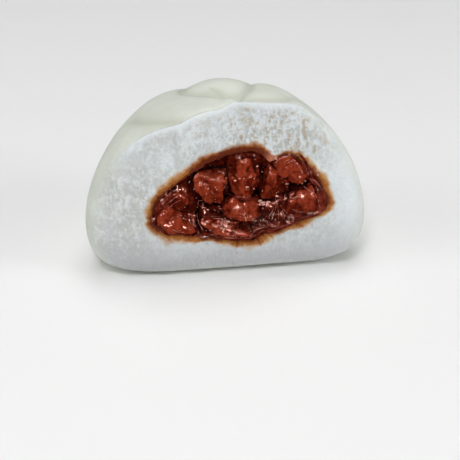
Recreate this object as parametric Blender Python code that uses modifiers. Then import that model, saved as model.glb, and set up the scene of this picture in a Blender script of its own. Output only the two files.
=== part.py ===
"""Char siu bao bun, torn open: a steamed dough dome with soft pleats gathered at its top.

The front of the bun is torn away in one rough, nearly upright face. The filling shows in that face
and runs back through the dough: a body of thick sauce with diced pork set into it.

Frame: metres, +Z up, -Y out of the torn face. The origin is under the middle of the bounding box,
on the surface that the bun stands on. The bun's own upright axis, through its gathered top, stands
at AXIS_Y in front of the origin, because only the back part of the bun is left.
"""

import math
import random

import bmesh
import bpy
import numpy as np
from mathutils import Euler, Vector

# The whole bun, before it was torn.
BUN_RADIUS = 0.0500  # at the waist, its widest level
WAIST_HEIGHT = 0.0195  # of the waist above the base
DOME_RISE = 0.0460  # from the waist to the top
DOME_POWERS = (2.5, 1.64)  # how square the dome's curve is, outwards and upwards
BELLY_DROP = 0.0285  # depth of the curve under the waist, before the base cuts it flat
BELLY_POWERS = (2.5, 2.2)
BASE_ROUNDING = 0.0095
AXIS_Y = -0.01665  # where the bun's own axis stands

# The creases that gather its top, from the bun's axis: the depth of each, its reach to the left and
# to the right, and its line across the top.
CREASES = (
    (0.0021, 0.0042, 0.0022, ((-3, 34), (-10, 21), (-13, 11.5), (-10.6, 6), (-6, 2.6), (2, -3.6))),
    (0.0017, 0.0024, 0.0044, ((24, 34), (13.6, 16), (10.4, 6.4), (7.4, 1.6), (3.2, -5.4))),
    (0.0008, 0.0032, 0.0020, ((3.6, -7.5), (7.3, -6), (14.3, -5.5), (20.5, -2.9), (33, 4))),
    (0.0009, 0.0030, 0.0034, ((-37, 17), (-30, 3.5), (-27.4, -2.6), (-22, -9), (-15, -13))),
)
LINE_UNIT = 0.001  # the lines are in millimetres
CREASE_ENDS = 0.22  # share of each line over which a crease sets in and fades out
FOLDS = (  # the swells between them: each one's place, half width and rise
    (0.0026, 0.0175, 0.0115, 0.0015),
    (0.0215, 0.0100, 0.0110, 0.0013),
    (-0.0220, 0.0190, 0.0110, 0.0010),
    (-0.0032, 0.0055, 0.0040, 0.0005),
)
CREASED_FROM, CREASED_FULLY = 0.034, 0.055  # heights between which the creases set in
GATHER = (0.0030, -0.0040)  # where they meet
DIMPLE_DEPTH, DIMPLE_RADIUS = 0.0013, 0.0026

# The torn face.
FACE_OFFSET = 0.0123  # in front of the bun's axis, at mid height
FACE_MID_HEIGHT = 0.0315
FACE_LEAN = math.radians(4.3)  # leans back towards the top
FACE_BULGE = (0.0100, 0.0029, 0.0074)  # of its middle over its sides, top and bottom
FACE_SWELLS = (  # each one's place across and up the face, half width, half height and rise
    (-0.0167, 0.0583, 0.0156, 0.0119, 0.0061),
    (0.0465, 0.0108, 0.0277, 0.0300, 0.0111),
)
FACE_WAVES = (0.0005, 0.0062, 0.0054)  # their depth, and how far apart they are across and up
RIM_ROUNDING = (0.0016, 0.0065)  # at the crisp top of the rim, and at its soft foot
RIM_SOFTENS = 0.75  # share of the dome's rise below which the rim starts to soften

# The opening in the torn face, and the filling behind it.
OPENING_X, OPENING_Z = 0.0020, 0.0252  # the point between its two tips
OPENING_HALF_WIDTH = 0.0302
OPENING_TILT = 0.04  # how steeply the line between the tips climbs to the right
OPENING_RISE = 0.0220  # of the arch above the tips
OPENING_SAG = 0.0077  # of the lower edge below them
# Dents in the arch and in the lower edge: each one's place, depth and half width.
ARCH_DENTS = (
    (0.0132, 0.0028, 0.0036),  # a lip of dough that hangs in
    (-0.0185, 0.0017, 0.0090),
)
EDGE_DENTS = (
    (0.0050, 0.0027, 0.0050),  # a run of sauce
    (0.0240, -0.0014, 0.0060),
)
POCKET_DEPTH = 0.0300  # how far the filling runs back into the dough
SAUCE_RECESS = 0.0052  # of the sauce behind the torn face, in the middle of the opening
SAUCE_LEVEL_AT_RIM = 0.0008  # and where it meets the dough
MOUTH_POWER, HOLLOW_POWER = 0.25, 0.85  # how straight its mouth is, and how full it is behind
SAUCE_SINK_POWER = 0.5  # how soon the sauce sinks, going in from the dough
SAUCE_LUMPS = (0.0006, 0.0017, 0.0015)  # their height, and how far apart they are across and up
GAP = 0.0003  # between pieces that touch

# Each die of pork: place across and up the face, place of its middle in front of the face,
# size across, up and deep, and its turns in degrees about the depth, cross and upright axes.
PORK_DICE = (
    ((-0.0067, 0.0360, -0.0046), (0.0100, 0.0096, 0.0110), (14, 10, -20)),
    ((0.0046, 0.0377, -0.0058), (0.0122, 0.0138, 0.0100), (-3, -6, 34)),
    ((0.0142, 0.0340, -0.0060), (0.0104, 0.0112, 0.0110), (8, 6, 14)),
    ((0.0205, 0.0388, -0.0056), (0.0156, 0.0088, 0.0100), (34, -18, 10)),
    ((0.0239, 0.0251, -0.0064), (0.0132, 0.0122, 0.0110), (-16, 12, -22)),
    ((0.0035, 0.0258, -0.0064), (0.0164, 0.0096, 0.0110), (5, -20, 24)),
    ((-0.0030, 0.0192, -0.0050), (0.0190, 0.0074, 0.0100), (3, -24, -12)),
    ((-0.0208, 0.0231, -0.0052), (0.0154, 0.0100, 0.0100), (10, -14, 16)),
    ((-0.0172, 0.0312, -0.0072), (0.0122, 0.0096, 0.0100), (-28, 8, 20)),
    ((0.0152, 0.0236, -0.0060), (0.0122, 0.0108, 0.0100), (38, -16, -10)),
)
DICE_APART = 0.0007
DICE_INSET = 0.0005  # from the dough, in which no die is set
CORNER_SPREAD = 0.13  # how far a die's corners stray, as a share of its size
DIE_BEVEL = 0.0011
SLIVER = 0.0012  # edges shorter than this are closed up before the bevel
WELD_WITHIN = 0.0001
NEARLY_FLAT = math.radians(8)  # faces that meet at less than this become one
HARD_EDGE = math.radians(35)
SEED = 7

# The point inside the bun from which its surface is laid out, and how finely.
HEART = (0.0020, 0.0100, 0.0275)
BUN_SEGMENTS, BUN_RINGS = 76, 35
FACE_RINGS = 0.34  # share of the rings that lie on the torn face
RING_CROWDING = 1.3  # how much closer together the skin's rings are near the rim
CROWN_CROWDING = 0.4  # and how much closer together the segments are at the top
PLUG_SEGMENTS, PLUG_RINGS = 48, 12
HALVINGS = 40
FAR_OUT = 0.0900  # further from the heart than any of the bun's surface
TINY = 1e-9


def smooth_max(a, b, reach):
    """The larger of a and b, eased where they are within reach of each other."""
    ease = np.maximum(reach - np.abs(a - b), 0.0) / reach
    return np.maximum(a, b) + ease * ease * reach / 4


def superellipse_distance(out, up, out_reach, up_reach, powers):
    """About how far a point lies outside the curve (out/R)^p + (up/H)^q = 1."""
    p, q = powers
    across, along = out / out_reach, up / up_reach
    value = across**p + along**q - 1
    slope = np.hypot(p / out_reach * across ** (p - 1), q / up_reach * along ** (q - 1))
    return value / np.maximum(slope, 1 / out_reach)


def eased(low, high, value):
    """0 below low, 1 above high and a smooth step between them."""
    t = np.clip((value - low) / (high - low), 0, 1)
    return t * t * (3 - 2 * t)


def beside_line(x, y, line):
    """Each point's distance from a line across the top, its side (1 left, -1 right) and how far
    along the line it lies, from 0 to 1."""
    start, step = line[:-1], np.diff(line, axis=0)
    off_x, off_y = x[:, None] - start[:, 0], y[:, None] - start[:, 1]
    share = np.clip((off_x * step[:, 0] + off_y * step[:, 1]) / (step**2).sum(axis=1), 0, 1)
    away = np.hypot(off_x - share * step[:, 0], off_y - share * step[:, 1])
    nearest, row = away.argmin(axis=1), np.arange(len(x))
    side = np.sign(step[nearest, 0] * off_y[row, nearest] - step[nearest, 1] * off_x[row, nearest])
    return away[row, nearest], side, (nearest + share[row, nearest]) / len(step)


def top_relief(x, y, z):
    """How far the folds, the creases and the gather raise the top, at places from the axis."""
    dimple = np.hypot(x - GATHER[0], y - GATHER[1]) / DIMPLE_RADIUS
    rise = -DIMPLE_DEPTH * np.exp(-(dimple**2))
    for middle_x, middle_y, half_width, height in FOLDS:
        rise += height * np.exp(-((x - middle_x) ** 2 + (y - middle_y) ** 2) / half_width**2)
    for depth, left, right, points in CREASES:
        away, side, along = beside_line(x, y, np.array(points) * LINE_UNIT)
        ends = eased(0, CREASE_ENDS, along) * eased(0, CREASE_ENDS, 1 - along)
        rise -= depth * ends * np.exp(-away / np.where(side > 0, left, right))
    return rise * eased(CREASED_FROM, CREASED_FULLY, z)


def dome_distance(x, y, z):
    """About how far a point lies outside the whole bun's skin. x and y are from the bun's axis."""
    out = np.maximum(np.hypot(x, y), TINY)
    up = z - WAIST_HEIGHT
    dome = superellipse_distance(out, np.maximum(up, TINY), BUN_RADIUS, DOME_RISE, DOME_POWERS)
    belly = superellipse_distance(out, np.maximum(-up, TINY), BUN_RADIUS, BELLY_DROP, BELLY_POWERS)
    return np.where(up > 0, dome, belly)


def face_place(x, z):
    """How far the torn face stands in front of the bun's axis, at a place across and up the face."""
    across = x / BUN_RADIUS
    up = (z - FACE_MID_HEIGHT) / (WAIST_HEIGHT + DOME_RISE - FACE_MID_HEIGHT)
    at_sides, at_top, at_bottom = FACE_BULGE
    bulge = at_sides * across**2 + np.where(up > 0, at_top, at_bottom) * up**2
    depth, apart_x, apart_z = FACE_WAVES
    place = FACE_OFFSET - math.tan(FACE_LEAN) * (z - FACE_MID_HEIGHT) - bulge
    place = place + depth * np.sin(x / apart_x) * np.sin(z / apart_z)
    for middle_x, middle_z, half_width, half_height, rise in FACE_SWELLS:
        off = ((x - middle_x) / half_width) ** 2 + ((z - middle_z) / half_height) ** 2
        place = place + rise * np.exp(-off)
    return place


def bun_distance(x, y, z):
    """About how far a point lies outside the torn bun: within its skin, behind its face, above 0."""
    low = np.clip((WAIST_HEIGHT + RIM_SOFTENS * DOME_RISE - z) / DOME_RISE, 0, 1)
    rounding = RIM_ROUNDING[0] + (RIM_ROUNDING[1] - RIM_ROUNDING[0]) * low
    torn = smooth_max(dome_distance(x, y, z), -y - face_place(x, z), rounding)
    return smooth_max(torn, -z, BASE_ROUNDING)


def reach_from_heart(directions):
    """Distance from the heart to the torn bun's surface along each direction, by halving."""
    near = np.zeros(len(directions))
    far = np.full(len(directions), FAR_OUT)
    for _ in range(HALVINGS):
        middle = (near + far) / 2
        outside = bun_distance(*(np.array(HEART) + directions * middle[:, None]).T) > 0
        far = np.where(outside, middle, far)
        near = np.where(outside, near, middle)
    return near


def rim_angle(around):
    """The angle at the heart, off the face's own direction, at which the face ends in the skin."""
    near, far = np.zeros(len(around)), np.full(len(around), FAR_OUT)
    for _ in range(HALVINGS):
        middle = (near + far) / 2
        x, z = HEART[0] + middle * np.cos(around), HEART[2] + middle * np.sin(around)
        outside = np.maximum(dome_distance(x, -face_place(x, z), z), -z) > 0
        far = np.where(outside, middle, far)
        near = np.where(outside, near, middle)
    x, z = HEART[0] + near * np.cos(around), HEART[2] + near * np.sin(around)
    return np.arctan2(near, HEART[1] + face_place(x, z))


def opening_edge(around, inset):
    """A point of the opening's outline, x and z, inset from the dough."""
    x = OPENING_X + (OPENING_HALF_WIDTH - inset) * np.cos(around)
    height = np.where(np.sin(around) > 0, OPENING_RISE, OPENING_SAG) - inset
    z = OPENING_Z + OPENING_TILT * (x - OPENING_X) + height * np.sin(around)
    for on_edge, dents in ((np.sin(around) > 0, ARCH_DENTS), (np.sin(around) <= 0, EDGE_DENTS)):
        for middle, depth, half_width in dents:
            z = z - np.where(on_edge, depth * np.exp(-(((x - middle) / half_width) ** 2)), 0)
    return x, z


def ball_angles(mesh):
    """Each vertex's angle off the +Z pole of a unit ball and its angle round it."""
    points = np.array([vertex.co for vertex in mesh.verts])
    return np.arccos(np.clip(points[:, 2], -1, 1)), np.arctan2(points[:, 1], points[:, 0])


def ball(segments, rings):
    """A unit ball whose poles become the front and back of a piece."""
    mesh = bmesh.new()
    bmesh.ops.create_uvsphere(mesh, u_segments=segments, v_segments=rings, radius=1)
    return mesh


def place_vertices(mesh, x, y, z):
    """Moves the vertices to places given from the bun's own axis."""
    for vertex, *place in zip(mesh.verts, x, y + AXIS_Y, z):
        vertex.co = place


def new_object(name, mesh, collection, material=None):
    """Turns a bmesh into an object, shaded smooth, in a collection."""
    bmesh.ops.recalc_face_normals(mesh, faces=mesh.faces)
    data = bpy.data.meshes.new(name)
    mesh.to_mesh(data)
    mesh.free()
    data.shade_smooth()
    thing = bpy.data.objects.new(name, data)
    collection.objects.link(thing)
    if material:
        data.materials.append(material)
    return thing


def as_cutter(thing):
    """Marks an object as a cutter, which isn't a piece of the bun."""
    thing.hide_render = True
    thing.display_type = "WIRE"
    return thing


def cut(thing, cutter, operation="DIFFERENCE"):
    """Takes the cutter's shape out of the piece, or keeps only what they share."""
    modifier = thing.modifiers.new("cut_" + cutter.name, "BOOLEAN")
    modifier.operation = operation
    modifier.solver = "EXACT"
    modifier.object = cutter


def settle(thing):
    """Works the modifiers into the mesh and marks its hard edges."""
    graph = bpy.context.evaluated_depsgraph_get()
    settled = bpy.data.meshes.new_from_object(thing.evaluated_get(graph))
    thing.modifiers.clear()
    thing.data = settled
    settled.set_sharp_from_angle(angle=HARD_EDGE)


def make_material(name, colour, roughness):
    """A plain food finish."""
    material = bpy.data.materials.new(name)
    material.use_nodes = True
    shader = material.node_tree.nodes["Principled BSDF"]
    shader.inputs["Base Color"].default_value = (*colour, 1)
    shader.inputs["Roughness"].default_value = roughness
    shader.inputs["Metallic"].default_value = 0
    return material


def make_dough(collection, material):
    """The bread of the bun: skin, torn face and base, with rings that follow the rim."""
    mesh = ball(BUN_SEGMENTS, BUN_RINGS)
    off, around = ball_angles(mesh)
    around = around + CROWN_CROWDING * np.cos(around)
    rim = rim_angle(around)
    face_end = math.pi * FACE_RINGS
    share = np.maximum(off - face_end, 0) / (math.pi - face_end)
    on_skin = rim + (math.pi - rim) * share**RING_CROWDING
    off = np.where(off < face_end, rim * off / face_end, on_skin)
    directions = np.stack(
        [np.sin(off) * np.cos(around), -np.cos(off), np.sin(off) * np.sin(around)], axis=1
    )
    x, y, z = (np.array(HEART) + directions * reach_from_heart(directions)[:, None]).T
    place_vertices(mesh, x, y, z + top_relief(x, y, z))
    return new_object("bun_dough", mesh, collection, material)


def make_pocket_cutter(name, inset, collection):
    """The hollow that the filling leaves in the dough, open through the torn face."""
    mesh = ball(PLUG_SEGMENTS, PLUG_RINGS)
    off, around = ball_angles(mesh)
    edge_x, edge_z = opening_edge(around, inset)
    in_front = off < math.pi / 2
    spread = np.sin(off) ** np.where(in_front, MOUTH_POWER, HOLLOW_POWER)
    x = OPENING_X + spread * (edge_x - OPENING_X)
    z = OPENING_Z + spread * (edge_z - OPENING_Z)
    ahead = np.cos(off) * (np.where(in_front, POCKET_DEPTH / 2, POCKET_DEPTH) - inset)
    place_vertices(mesh, x, -face_place(x, z) - ahead, z)
    return as_cutter(new_object(name, mesh, collection))


def make_sauce(collection, material):
    """The sauce that the pork lies in: full against the dough, sunk in the middle, lumpy."""
    mesh = ball(PLUG_SEGMENTS, PLUG_RINGS)
    off, around = ball_angles(mesh)
    edge_x, edge_z = opening_edge(around, inset=GAP)
    in_front = off < math.pi / 2
    spread = np.sin(off) ** np.where(in_front, 1, HOLLOW_POWER)
    x = OPENING_X + spread * (edge_x - OPENING_X)
    z = OPENING_Z + spread * (edge_z - OPENING_Z)
    height, apart_x, apart_z = SAUCE_LUMPS
    lumps = height * np.sin(x / apart_x) * np.sin(z / apart_z) * np.sin(2 * off) ** 2
    sinking = np.abs(np.cos(off)) ** SAUCE_SINK_POWER
    sunk = SAUCE_LEVEL_AT_RIM + (SAUCE_RECESS - SAUCE_LEVEL_AT_RIM) * sinking
    ahead = np.where(in_front, lumps - sunk, -SAUCE_LEVEL_AT_RIM)
    behind = np.where(in_front, 0, (POCKET_DEPTH - 2 * GAP - SAUCE_LEVEL_AT_RIM) * -np.cos(off))
    place_vertices(mesh, x, -face_place(x, z) - ahead + behind, z)
    return new_object("filling_sauce", mesh, collection, material)


def die_frame(place, turns):
    """Where a die's middle is and how it's turned."""
    x, z, ahead = place
    spin, nod, swing = (math.radians(turn) for turn in turns)
    front = float(face_place(np.array(x), np.array(z)))
    middle = Vector((x, -front - ahead + AXIS_Y, z))
    return middle, Euler((nod, spin, swing)).to_matrix()


def half_depth(size, turned, direction):
    """How far a box of this size reaches from its middle along a direction."""
    across, up, deep = size
    along = turned.transposed() @ direction
    return (abs(along.x) * across + abs(along.y) * deep + abs(along.z) * up) / 2


def make_die(number, corners, grow, name, collection, material=None):
    """One die of pork: a box with strayed corners, trimmed where it would reach its neighbours."""
    place, size, turns = PORK_DICE[number]
    middle, turned = die_frame(place, turns)
    mesh = bmesh.new()
    across, up, deep = (side + 2 * grow for side in size)
    for corner in corners:
        mesh.verts.new(middle + turned @ Vector((corner.x * across, corner.y * deep, corner.z * up)))
    wrap(mesh)
    for other, (other_place, other_size, other_turns) in enumerate(PORK_DICE):
        if other == number:
            continue
        other_middle, other_turned = die_frame(other_place, other_turns)
        way = other_middle - middle
        across_gap = way.normalized()
        own = half_depth(size, turned, across_gap)
        share = own / (own + half_depth(other_size, other_turned, across_gap))
        trim_flat(mesh, middle + way * share - across_gap * (DICE_APART / 2 - grow), across_gap)
    bmesh.ops.remove_doubles(mesh, verts=mesh.verts, dist=SLIVER)
    bmesh.ops.delete(mesh, geom=mesh.edges, context="EDGES_FACES")
    wrap(mesh)
    bmesh.ops.dissolve_limit(mesh, angle_limit=NEARLY_FLAT, verts=mesh.verts, edges=mesh.edges)
    die = new_object(name, mesh, collection, material)
    bevel = die.modifiers.new("rounded_edges", "BEVEL")
    bevel.width = DIE_BEVEL
    bevel.segments = 2
    die.modifiers.new("closed_up", "WELD").merge_threshold = WELD_WITHIN
    return die


def wrap(mesh):
    """Closes a tight skin over loose points."""
    hull = bmesh.ops.convex_hull(mesh, input=mesh.verts)
    spare = [thing for thing in hull["geom_interior"] if isinstance(thing, bmesh.types.BMVert)]
    bmesh.ops.delete(mesh, geom=spare, context="VERTS")


def trim_flat(mesh, point, outwards):
    """Cuts a convex piece flat at a plane and closes it there."""
    everything = [*mesh.verts, *mesh.edges, *mesh.faces]
    trimmed = bmesh.ops.bisect_plane(
        mesh, geom=everything, plane_co=point, plane_no=outwards, clear_outer=True
    )
    rim = [part for part in trimmed["geom_cut"] if isinstance(part, bmesh.types.BMEdge)]
    if rim:
        bmesh.ops.edgeloop_fill(mesh, edges=rim)


def box_corners(chance):
    """The corners of a unit box, each strayed a little."""
    halves = (-0.5, 0.5)
    return [
        Vector([side + chance.uniform(-CORNER_SPREAD, CORNER_SPREAD) for side in (x, y, z)])
        for x in halves
        for y in halves
        for z in halves
    ]


def make_pork(sauce, parts, cutters, material):
    """The dice that show at the tear, each in a socket of its own in the sauce."""
    chance = random.Random(SEED)
    room = make_pocket_cutter("room_for_dice", DICE_INSET, cutters)
    wider_room = make_pocket_cutter("room_for_sockets", DICE_INSET - GAP, cutters)
    for number in range(len(PORK_DICE)):
        corners = box_corners(chance)
        name = f"pork_{number + 1:02d}"
        die = make_die(number, corners, 0, name, parts, material)
        cut(die, room, "INTERSECT")
        settle(die)
        socket = make_die(number, corners, GAP, name + "_socket", cutters)
        cut(socket, wider_room, "INTERSECT")
        cut(sauce, as_cutter(socket))
    settle(sauce)


def main():
    for thing in list(bpy.data.objects):
        bpy.data.objects.remove(thing)
    parts = bpy.data.collections.new("char_siu_bao_bun")
    cutters = bpy.data.collections.new("cutters")
    for collection in (parts, cutters):
        bpy.context.scene.collection.children.link(collection)

    dough_finish = make_material("steamed_dough", (0.78, 0.80, 0.76), 0.6)
    sauce_finish = make_material("char_siu_sauce", (0.10, 0.022, 0.012), 0.2)
    pork_finish = make_material("glazed_pork", (0.28, 0.055, 0.025), 0.3)

    dough = make_dough(parts, dough_finish)
    cut(dough, make_pocket_cutter("pocket", 0, cutters))
    settle(dough)
    sauce = make_sauce(parts, sauce_finish)
    make_pork(sauce, parts, cutters, pork_finish)


main()
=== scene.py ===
"""Char siu bao bun, torn open: the looks of the bread, the sauce and the glazed pork.

Every piece is a surface worked out with numpy in metres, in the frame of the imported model. Shapes
are first worked out from the bun's own upright axis, which stands at BUN_AXIS_Y. A table of round
spots gives each one's place, half width, half height and rise, in millimetres (see rounds).
"""

import functools
import math

import bpy
import numpy as np
from bpy.props import FloatProperty, FloatVectorProperty, IntProperty, PointerProperty
from bpy.types import Operator, Panel, PropertyGroup
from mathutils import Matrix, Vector


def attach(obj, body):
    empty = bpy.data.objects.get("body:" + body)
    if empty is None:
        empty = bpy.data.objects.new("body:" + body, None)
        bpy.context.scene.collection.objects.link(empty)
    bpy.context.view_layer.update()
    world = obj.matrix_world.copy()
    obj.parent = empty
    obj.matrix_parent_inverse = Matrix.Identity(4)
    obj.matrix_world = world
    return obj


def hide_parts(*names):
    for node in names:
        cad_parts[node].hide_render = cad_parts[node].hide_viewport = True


bl_info = {
    "name": "Torn char siu bao bun",
    "version": (1, 0, 0),
    "blender": (4, 5, 0),
    "location": "3D Viewport > Sidebar > Bun",
    "description": "Makes a torn steamed bun with its sauce and glazed pork",
    "category": "Add Mesh",
}

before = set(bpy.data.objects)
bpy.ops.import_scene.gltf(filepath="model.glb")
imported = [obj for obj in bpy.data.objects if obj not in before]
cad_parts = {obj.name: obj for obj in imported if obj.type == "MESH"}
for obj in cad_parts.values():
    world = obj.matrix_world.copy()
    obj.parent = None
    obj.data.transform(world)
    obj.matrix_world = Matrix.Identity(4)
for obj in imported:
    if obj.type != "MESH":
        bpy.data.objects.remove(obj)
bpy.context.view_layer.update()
PORK_NODES = sorted(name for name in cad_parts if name.startswith("pork_"))
MM = 0.001
TINY = 1e-9

# The whole bun before it was torn, from its own axis.
BUN_AXIS_Y = -0.01665
BUN_RADIUS = 0.0500
WAIST_HEIGHT = 0.0195
DOME_RISE = 0.0460
DOME_POWERS = (2.5, 1.64)
BELLY_DROP = 0.0285
BELLY_POWERS = (2.5, 2.2)
BASE_ROUNDING = 0.0095

# The creases of its gathered top: depth and reach to the left and right of the line, then the line
# across the top from its start, all from the bun's own axis in millimetres.
CREASES = (
    (
        (2.1, 4.2, 2.2),
        ((-3, 34), (-10, 20.7), (-12.8, 11.5), (-10.6, 6), (-6.2, 2.6), (-1.8, -0.4), (1.8, -3.6)),
    ),
    ((1.7, 2.4, 4.4), ((24, 34), (13.6, 16), (10.4, 6.4), (7.4, 1.6), (5.2, -0.8), (3.2, -5.4))),
    ((0.8, 3.2, 2.0), ((3.6, -7.5), (7.3, -6), (14.3, -5.5), (20.5, -2.9), (25.4, 1.3), (33, 4))),
    ((0.9, 3, 3.4), ((-37, 17), (-31.5, 9.5), (-30, 3.5), (-27.4, -2.6), (-22, -9), (-15, -13))),
    ((0.9, 2.4, 1.0), ((-4.6, 9.6), (-1.8, 4.6), (0.6, 0.2), (2.6, -4.4))),
)
CREASE_ROUNDING = 0.3
CREASE_ENDS = (0.22, 0.88)  # the shares of its length between which a crease is at its deepest
CREASED_FROM, CREASED_FULLY = 0.034, 0.055  # heights
# Swells of the folds between them, and the dimple where they gather.
FOLDS = (
    (2.6, 17.5, 11.5, 11.5, 1.5),
    (21.5, 10.0, 11.0, 11.0, 1.3),
    (-22.0, 19.0, 11.0, 11.0, 1.0),
    (-3.2, 5.5, 4.0, 4.0, 0.5),
    (3.0, -4.0, 2.6, 2.6, -1.3),
)

# The torn face.
FACE_OFFSET, FACE_MID_HEIGHT = 0.0123, 0.0315
FACE_LEAN = math.radians(4.3)
FACE_BULGE = (0.0100, 0.0029, 0.0074)  # at the sides, the top and the bottom
FACE_SWELLS = (
    (-16.7, 58.3, 15.6, 11.9, 6.1),
    (46.5, 10.8, 27.7, 30.0, 11.1),
    (-5.2, 64.5, 3.8, 5.5, 1.9),
    (3.6, 65.0, 2.4, 4.5, -2.0),
    (12.0, 64.0, 4.5, 5.0, 0.8),
    (24.0, 61.5, 5.5, 4.5, -2.0),
)
FACE_WAVES = (0.0005, 0.0062, 0.0054)  # their depth, and how far they reach across and up
RIM_ROUNDING = (0.0016, 0.0065)  # at the top and low down
RIM_SOFTENS = 0.75  # of the dome's rise, below which the rim is rounder

# The opening in it, and the hollow behind.
OPENING_X, OPENING_Z = 0.0020, 0.0252
OPENING_HALF_WIDTH = 0.0302
OPENING_TILT = 0.04
OPENING_RISE, OPENING_SAG = 0.0220, 0.0077
NOTCH_X, NOTCH_HALF_WIDTH = 0.0132, 0.0036
# Dips of its edge: on the upper half or not, place, depth and half width.
EDGE_DIPS = (
    (True, NOTCH_X, 0.0028, NOTCH_HALF_WIDTH),
    (True, -0.0185, 0.0017, 0.0090),
    (False, 0.0050, 0.0027, 0.0050),
    (False, 0.0240, -0.0014, 0.0060),
)
EDGE_WAVES, EDGE_FRAYING = 0.00045, 0.00022
POCKET_DEPTH = 0.0300
LIP_WIDTH, LIP_WAVES, LOW_LIP_WIDER = 0.0015, 0.0004, 0.0007
LIP_DEPTH = 0.6  # of its breadth
HOLLOW_POWER = 0.85

# Where the crumb is coarse, and beige streaks in it.
COARSE_CRUMB = ((16.0, 53.0, 24.0, 12.0, 1.0),)
CRUMB_STREAKS = (
    (26.0, 52.9, 1.0, 3.8, 0.95),
    (27.8, 56.0, 0.6, 1.9, 0.7),
    (33.9, 47.8, 1.1, 3.4, 0.95),
    (29.8, 44.5, 0.9, 2.8, 0.85),
    (20.1, 49.0, 0.9, 2.0, 0.7),
    (21.0, 46.4, 0.6, 1.3, 0.6),
    (16.5, 53.5, 1.6, 0.9, 0.6),
    (13.6, 56.8, 0.6, 1.4, 0.75),
    (2.5, 52.7, 0.9, 1.1, 0.95),
    (5.0, 62.4, 1.6, 1.3, 0.6),
    (-0.3, 57.7, 1.8, 1.6, 0.55),
)
# Soft creases and swells in the crumb, which also get painted shade in the crease and painted
# highlights on the swells.
CRUMB_CREASES = (
    (-20.6, 52.5, 1.0, 7.0, -0.9),
    (-23.8, 48.0, 2.4, 4.5, 0.6),
    (-16.6, 54.0, 2.6, 5.0, 0.6),
)
# The width of the sauce's stain round the opening in millimetres, where it is wider or narrower,
# and the pale lobe of dough that hangs over the filling.
STAIN_WIDTH = 5.0
STAIN_SPOTS = (
    (-23.0, 15.0, 8.0, 5.0, 3.4),
    (21.0, 45.0, 7.0, 5.0, -1.0),
    (13.0, 49.0, 4.0, 4.0, -1.0),
    (24.0, 20.0, 6.0, 4.0, 1.4),
    (33.0, 32.0, 5.0, 9.0, -0.9),
    (4.0, 50.0, 7.0, 4.0, -0.5),
    (-11.5, 12.5, 7.5, 4.5, -1.9),
    (-24.0, 36.0, 9.0, 6.0, -0.6),
    (-32.0, 23.5, 4.0, 3.5, -1.3),
)
LOBE = ((13.2, 43.8, 2.2, 2.2, 0.9),)
# The rim: how far the tear runs over on to the skin, how much further where the rim is soft and at
# the right, and the welt along it.
RIM_REACH, SOFT_RIM_FURTHER, RIGHT_RIM_FURTHER = 0.6 * MM, 5.4 * MM, 2.5 * MM
WELT_HEIGHT, WELT_HALF_WIDTH = 0.4 * MM, 1.5 * MM
SKIN_WAVE_HEIGHT, SOAKED_LUMP_HEIGHT = 0.12 * MM, 0.25 * MM

# The point inside the bun from which its surface is laid out, and how it is searched for.
HEART = np.array((0.0020, 0.0100, 0.0275))
HALVINGS = 36
FAR_OUT = 0.0900
OUTLINE_POINTS = 4001


# Noise and curves, worked out for whole arrays of points.


def scatter(cells, seed):
    """A steady number from 0 to 1 for each whole-number cell: its three coordinates times large
    primes, folded together and mixed."""
    x, y, z = (cells[..., axis].astype(np.int64) for axis in range(3))
    mixed = (x * 73856093) ^ (y * 19349663) ^ (z * 83492791) ^ (seed * 2654435761)
    mixed = (mixed ^ (mixed >> 13)) & 0xFFFFFFFF
    mixed = (mixed * 1274126177) & 0xFFFFFFFF
    mixed = (mixed ^ (mixed >> 16)) * 2246822519 & 0xFFFFFFFF
    return ((mixed ^ (mixed >> 13)) & 0xFFFFFF) / float(0xFFFFFF)


def soft_noise(points, size, seed):
    """Noise from -1 to 1: a number at each corner of a grid of cells of the given size, blended
    across the cell with the curve 6t^5 - 15t^4 + 10t^3."""
    scaled = points / size
    low = np.floor(scaled)
    t = scaled - low
    ease = t * t * t * (t * (t * 6 - 15) + 10)
    total = 0.0
    for corner in np.ndindex(2, 2, 2):
        weight = np.ones(points.shape[:-1])
        for axis, side in enumerate(corner):
            weight = weight * (ease[..., axis] if side else 1 - ease[..., axis])
        total = total + weight * scatter(low + np.array(corner), seed)
    return 2 * total - 1


def layered_noise(points, size, seed, layers=3):
    """Soft noise summed over layers, each half the size and half the height of the one before."""
    total, height, reach = 0.0, 1.0, 0.0
    for layer in range(layers):
        total = total + height * soft_noise(points, size / 2**layer, seed + 17 * layer)
        reach += height
        height /= 2
    return total / reach


def pebbles(points, size, seed):
    """The distance, in cells, to the nearest of points strewn one to a cell."""
    scaled = points / size
    low = np.floor(scaled)
    nearest = np.full(points.shape[:-1], 9.0)
    for step in np.ndindex(3, 3, 3):
        cell = low + np.array(step) - 1
        spot = cell + np.stack([scatter(cell, seed + axis) for axis in range(3)], axis=-1)
        nearest = np.minimum(nearest, np.sqrt(((spot - scaled) ** 2).sum(axis=-1)))
    return nearest


def smooth_step(low, high, value):
    """0 below low, 1 above high and 3t^2 - 2t^3 between them."""
    t = np.clip((value - low) / (high - low), 0, 1)
    return t * t * (3 - 2 * t)


def smooth_max(a, b, reach):
    """The larger of a and b, eased by (reach - |a - b|)^2 / (4 reach) where they are close."""
    ease = np.maximum(reach - np.abs(a - b), 0.0) / reach
    return np.maximum(a, b) + ease * ease * reach / 4


def rounds(x, z, spots):
    """The sum of round spots exp(-distance^2), each distance in the spot's own half widths."""
    total = 0.0
    for middle_x, middle_z, half_width, half_height, rise in spots:
        off = ((x / MM - middle_x) / half_width) ** 2 + ((z / MM - middle_z) / half_height) ** 2
        total = total + rise * np.exp(-off)
    return total


def circle(count):
    """Angles spread evenly round a circle."""
    return np.linspace(0, 2 * math.pi, count, endpoint=False)


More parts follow.
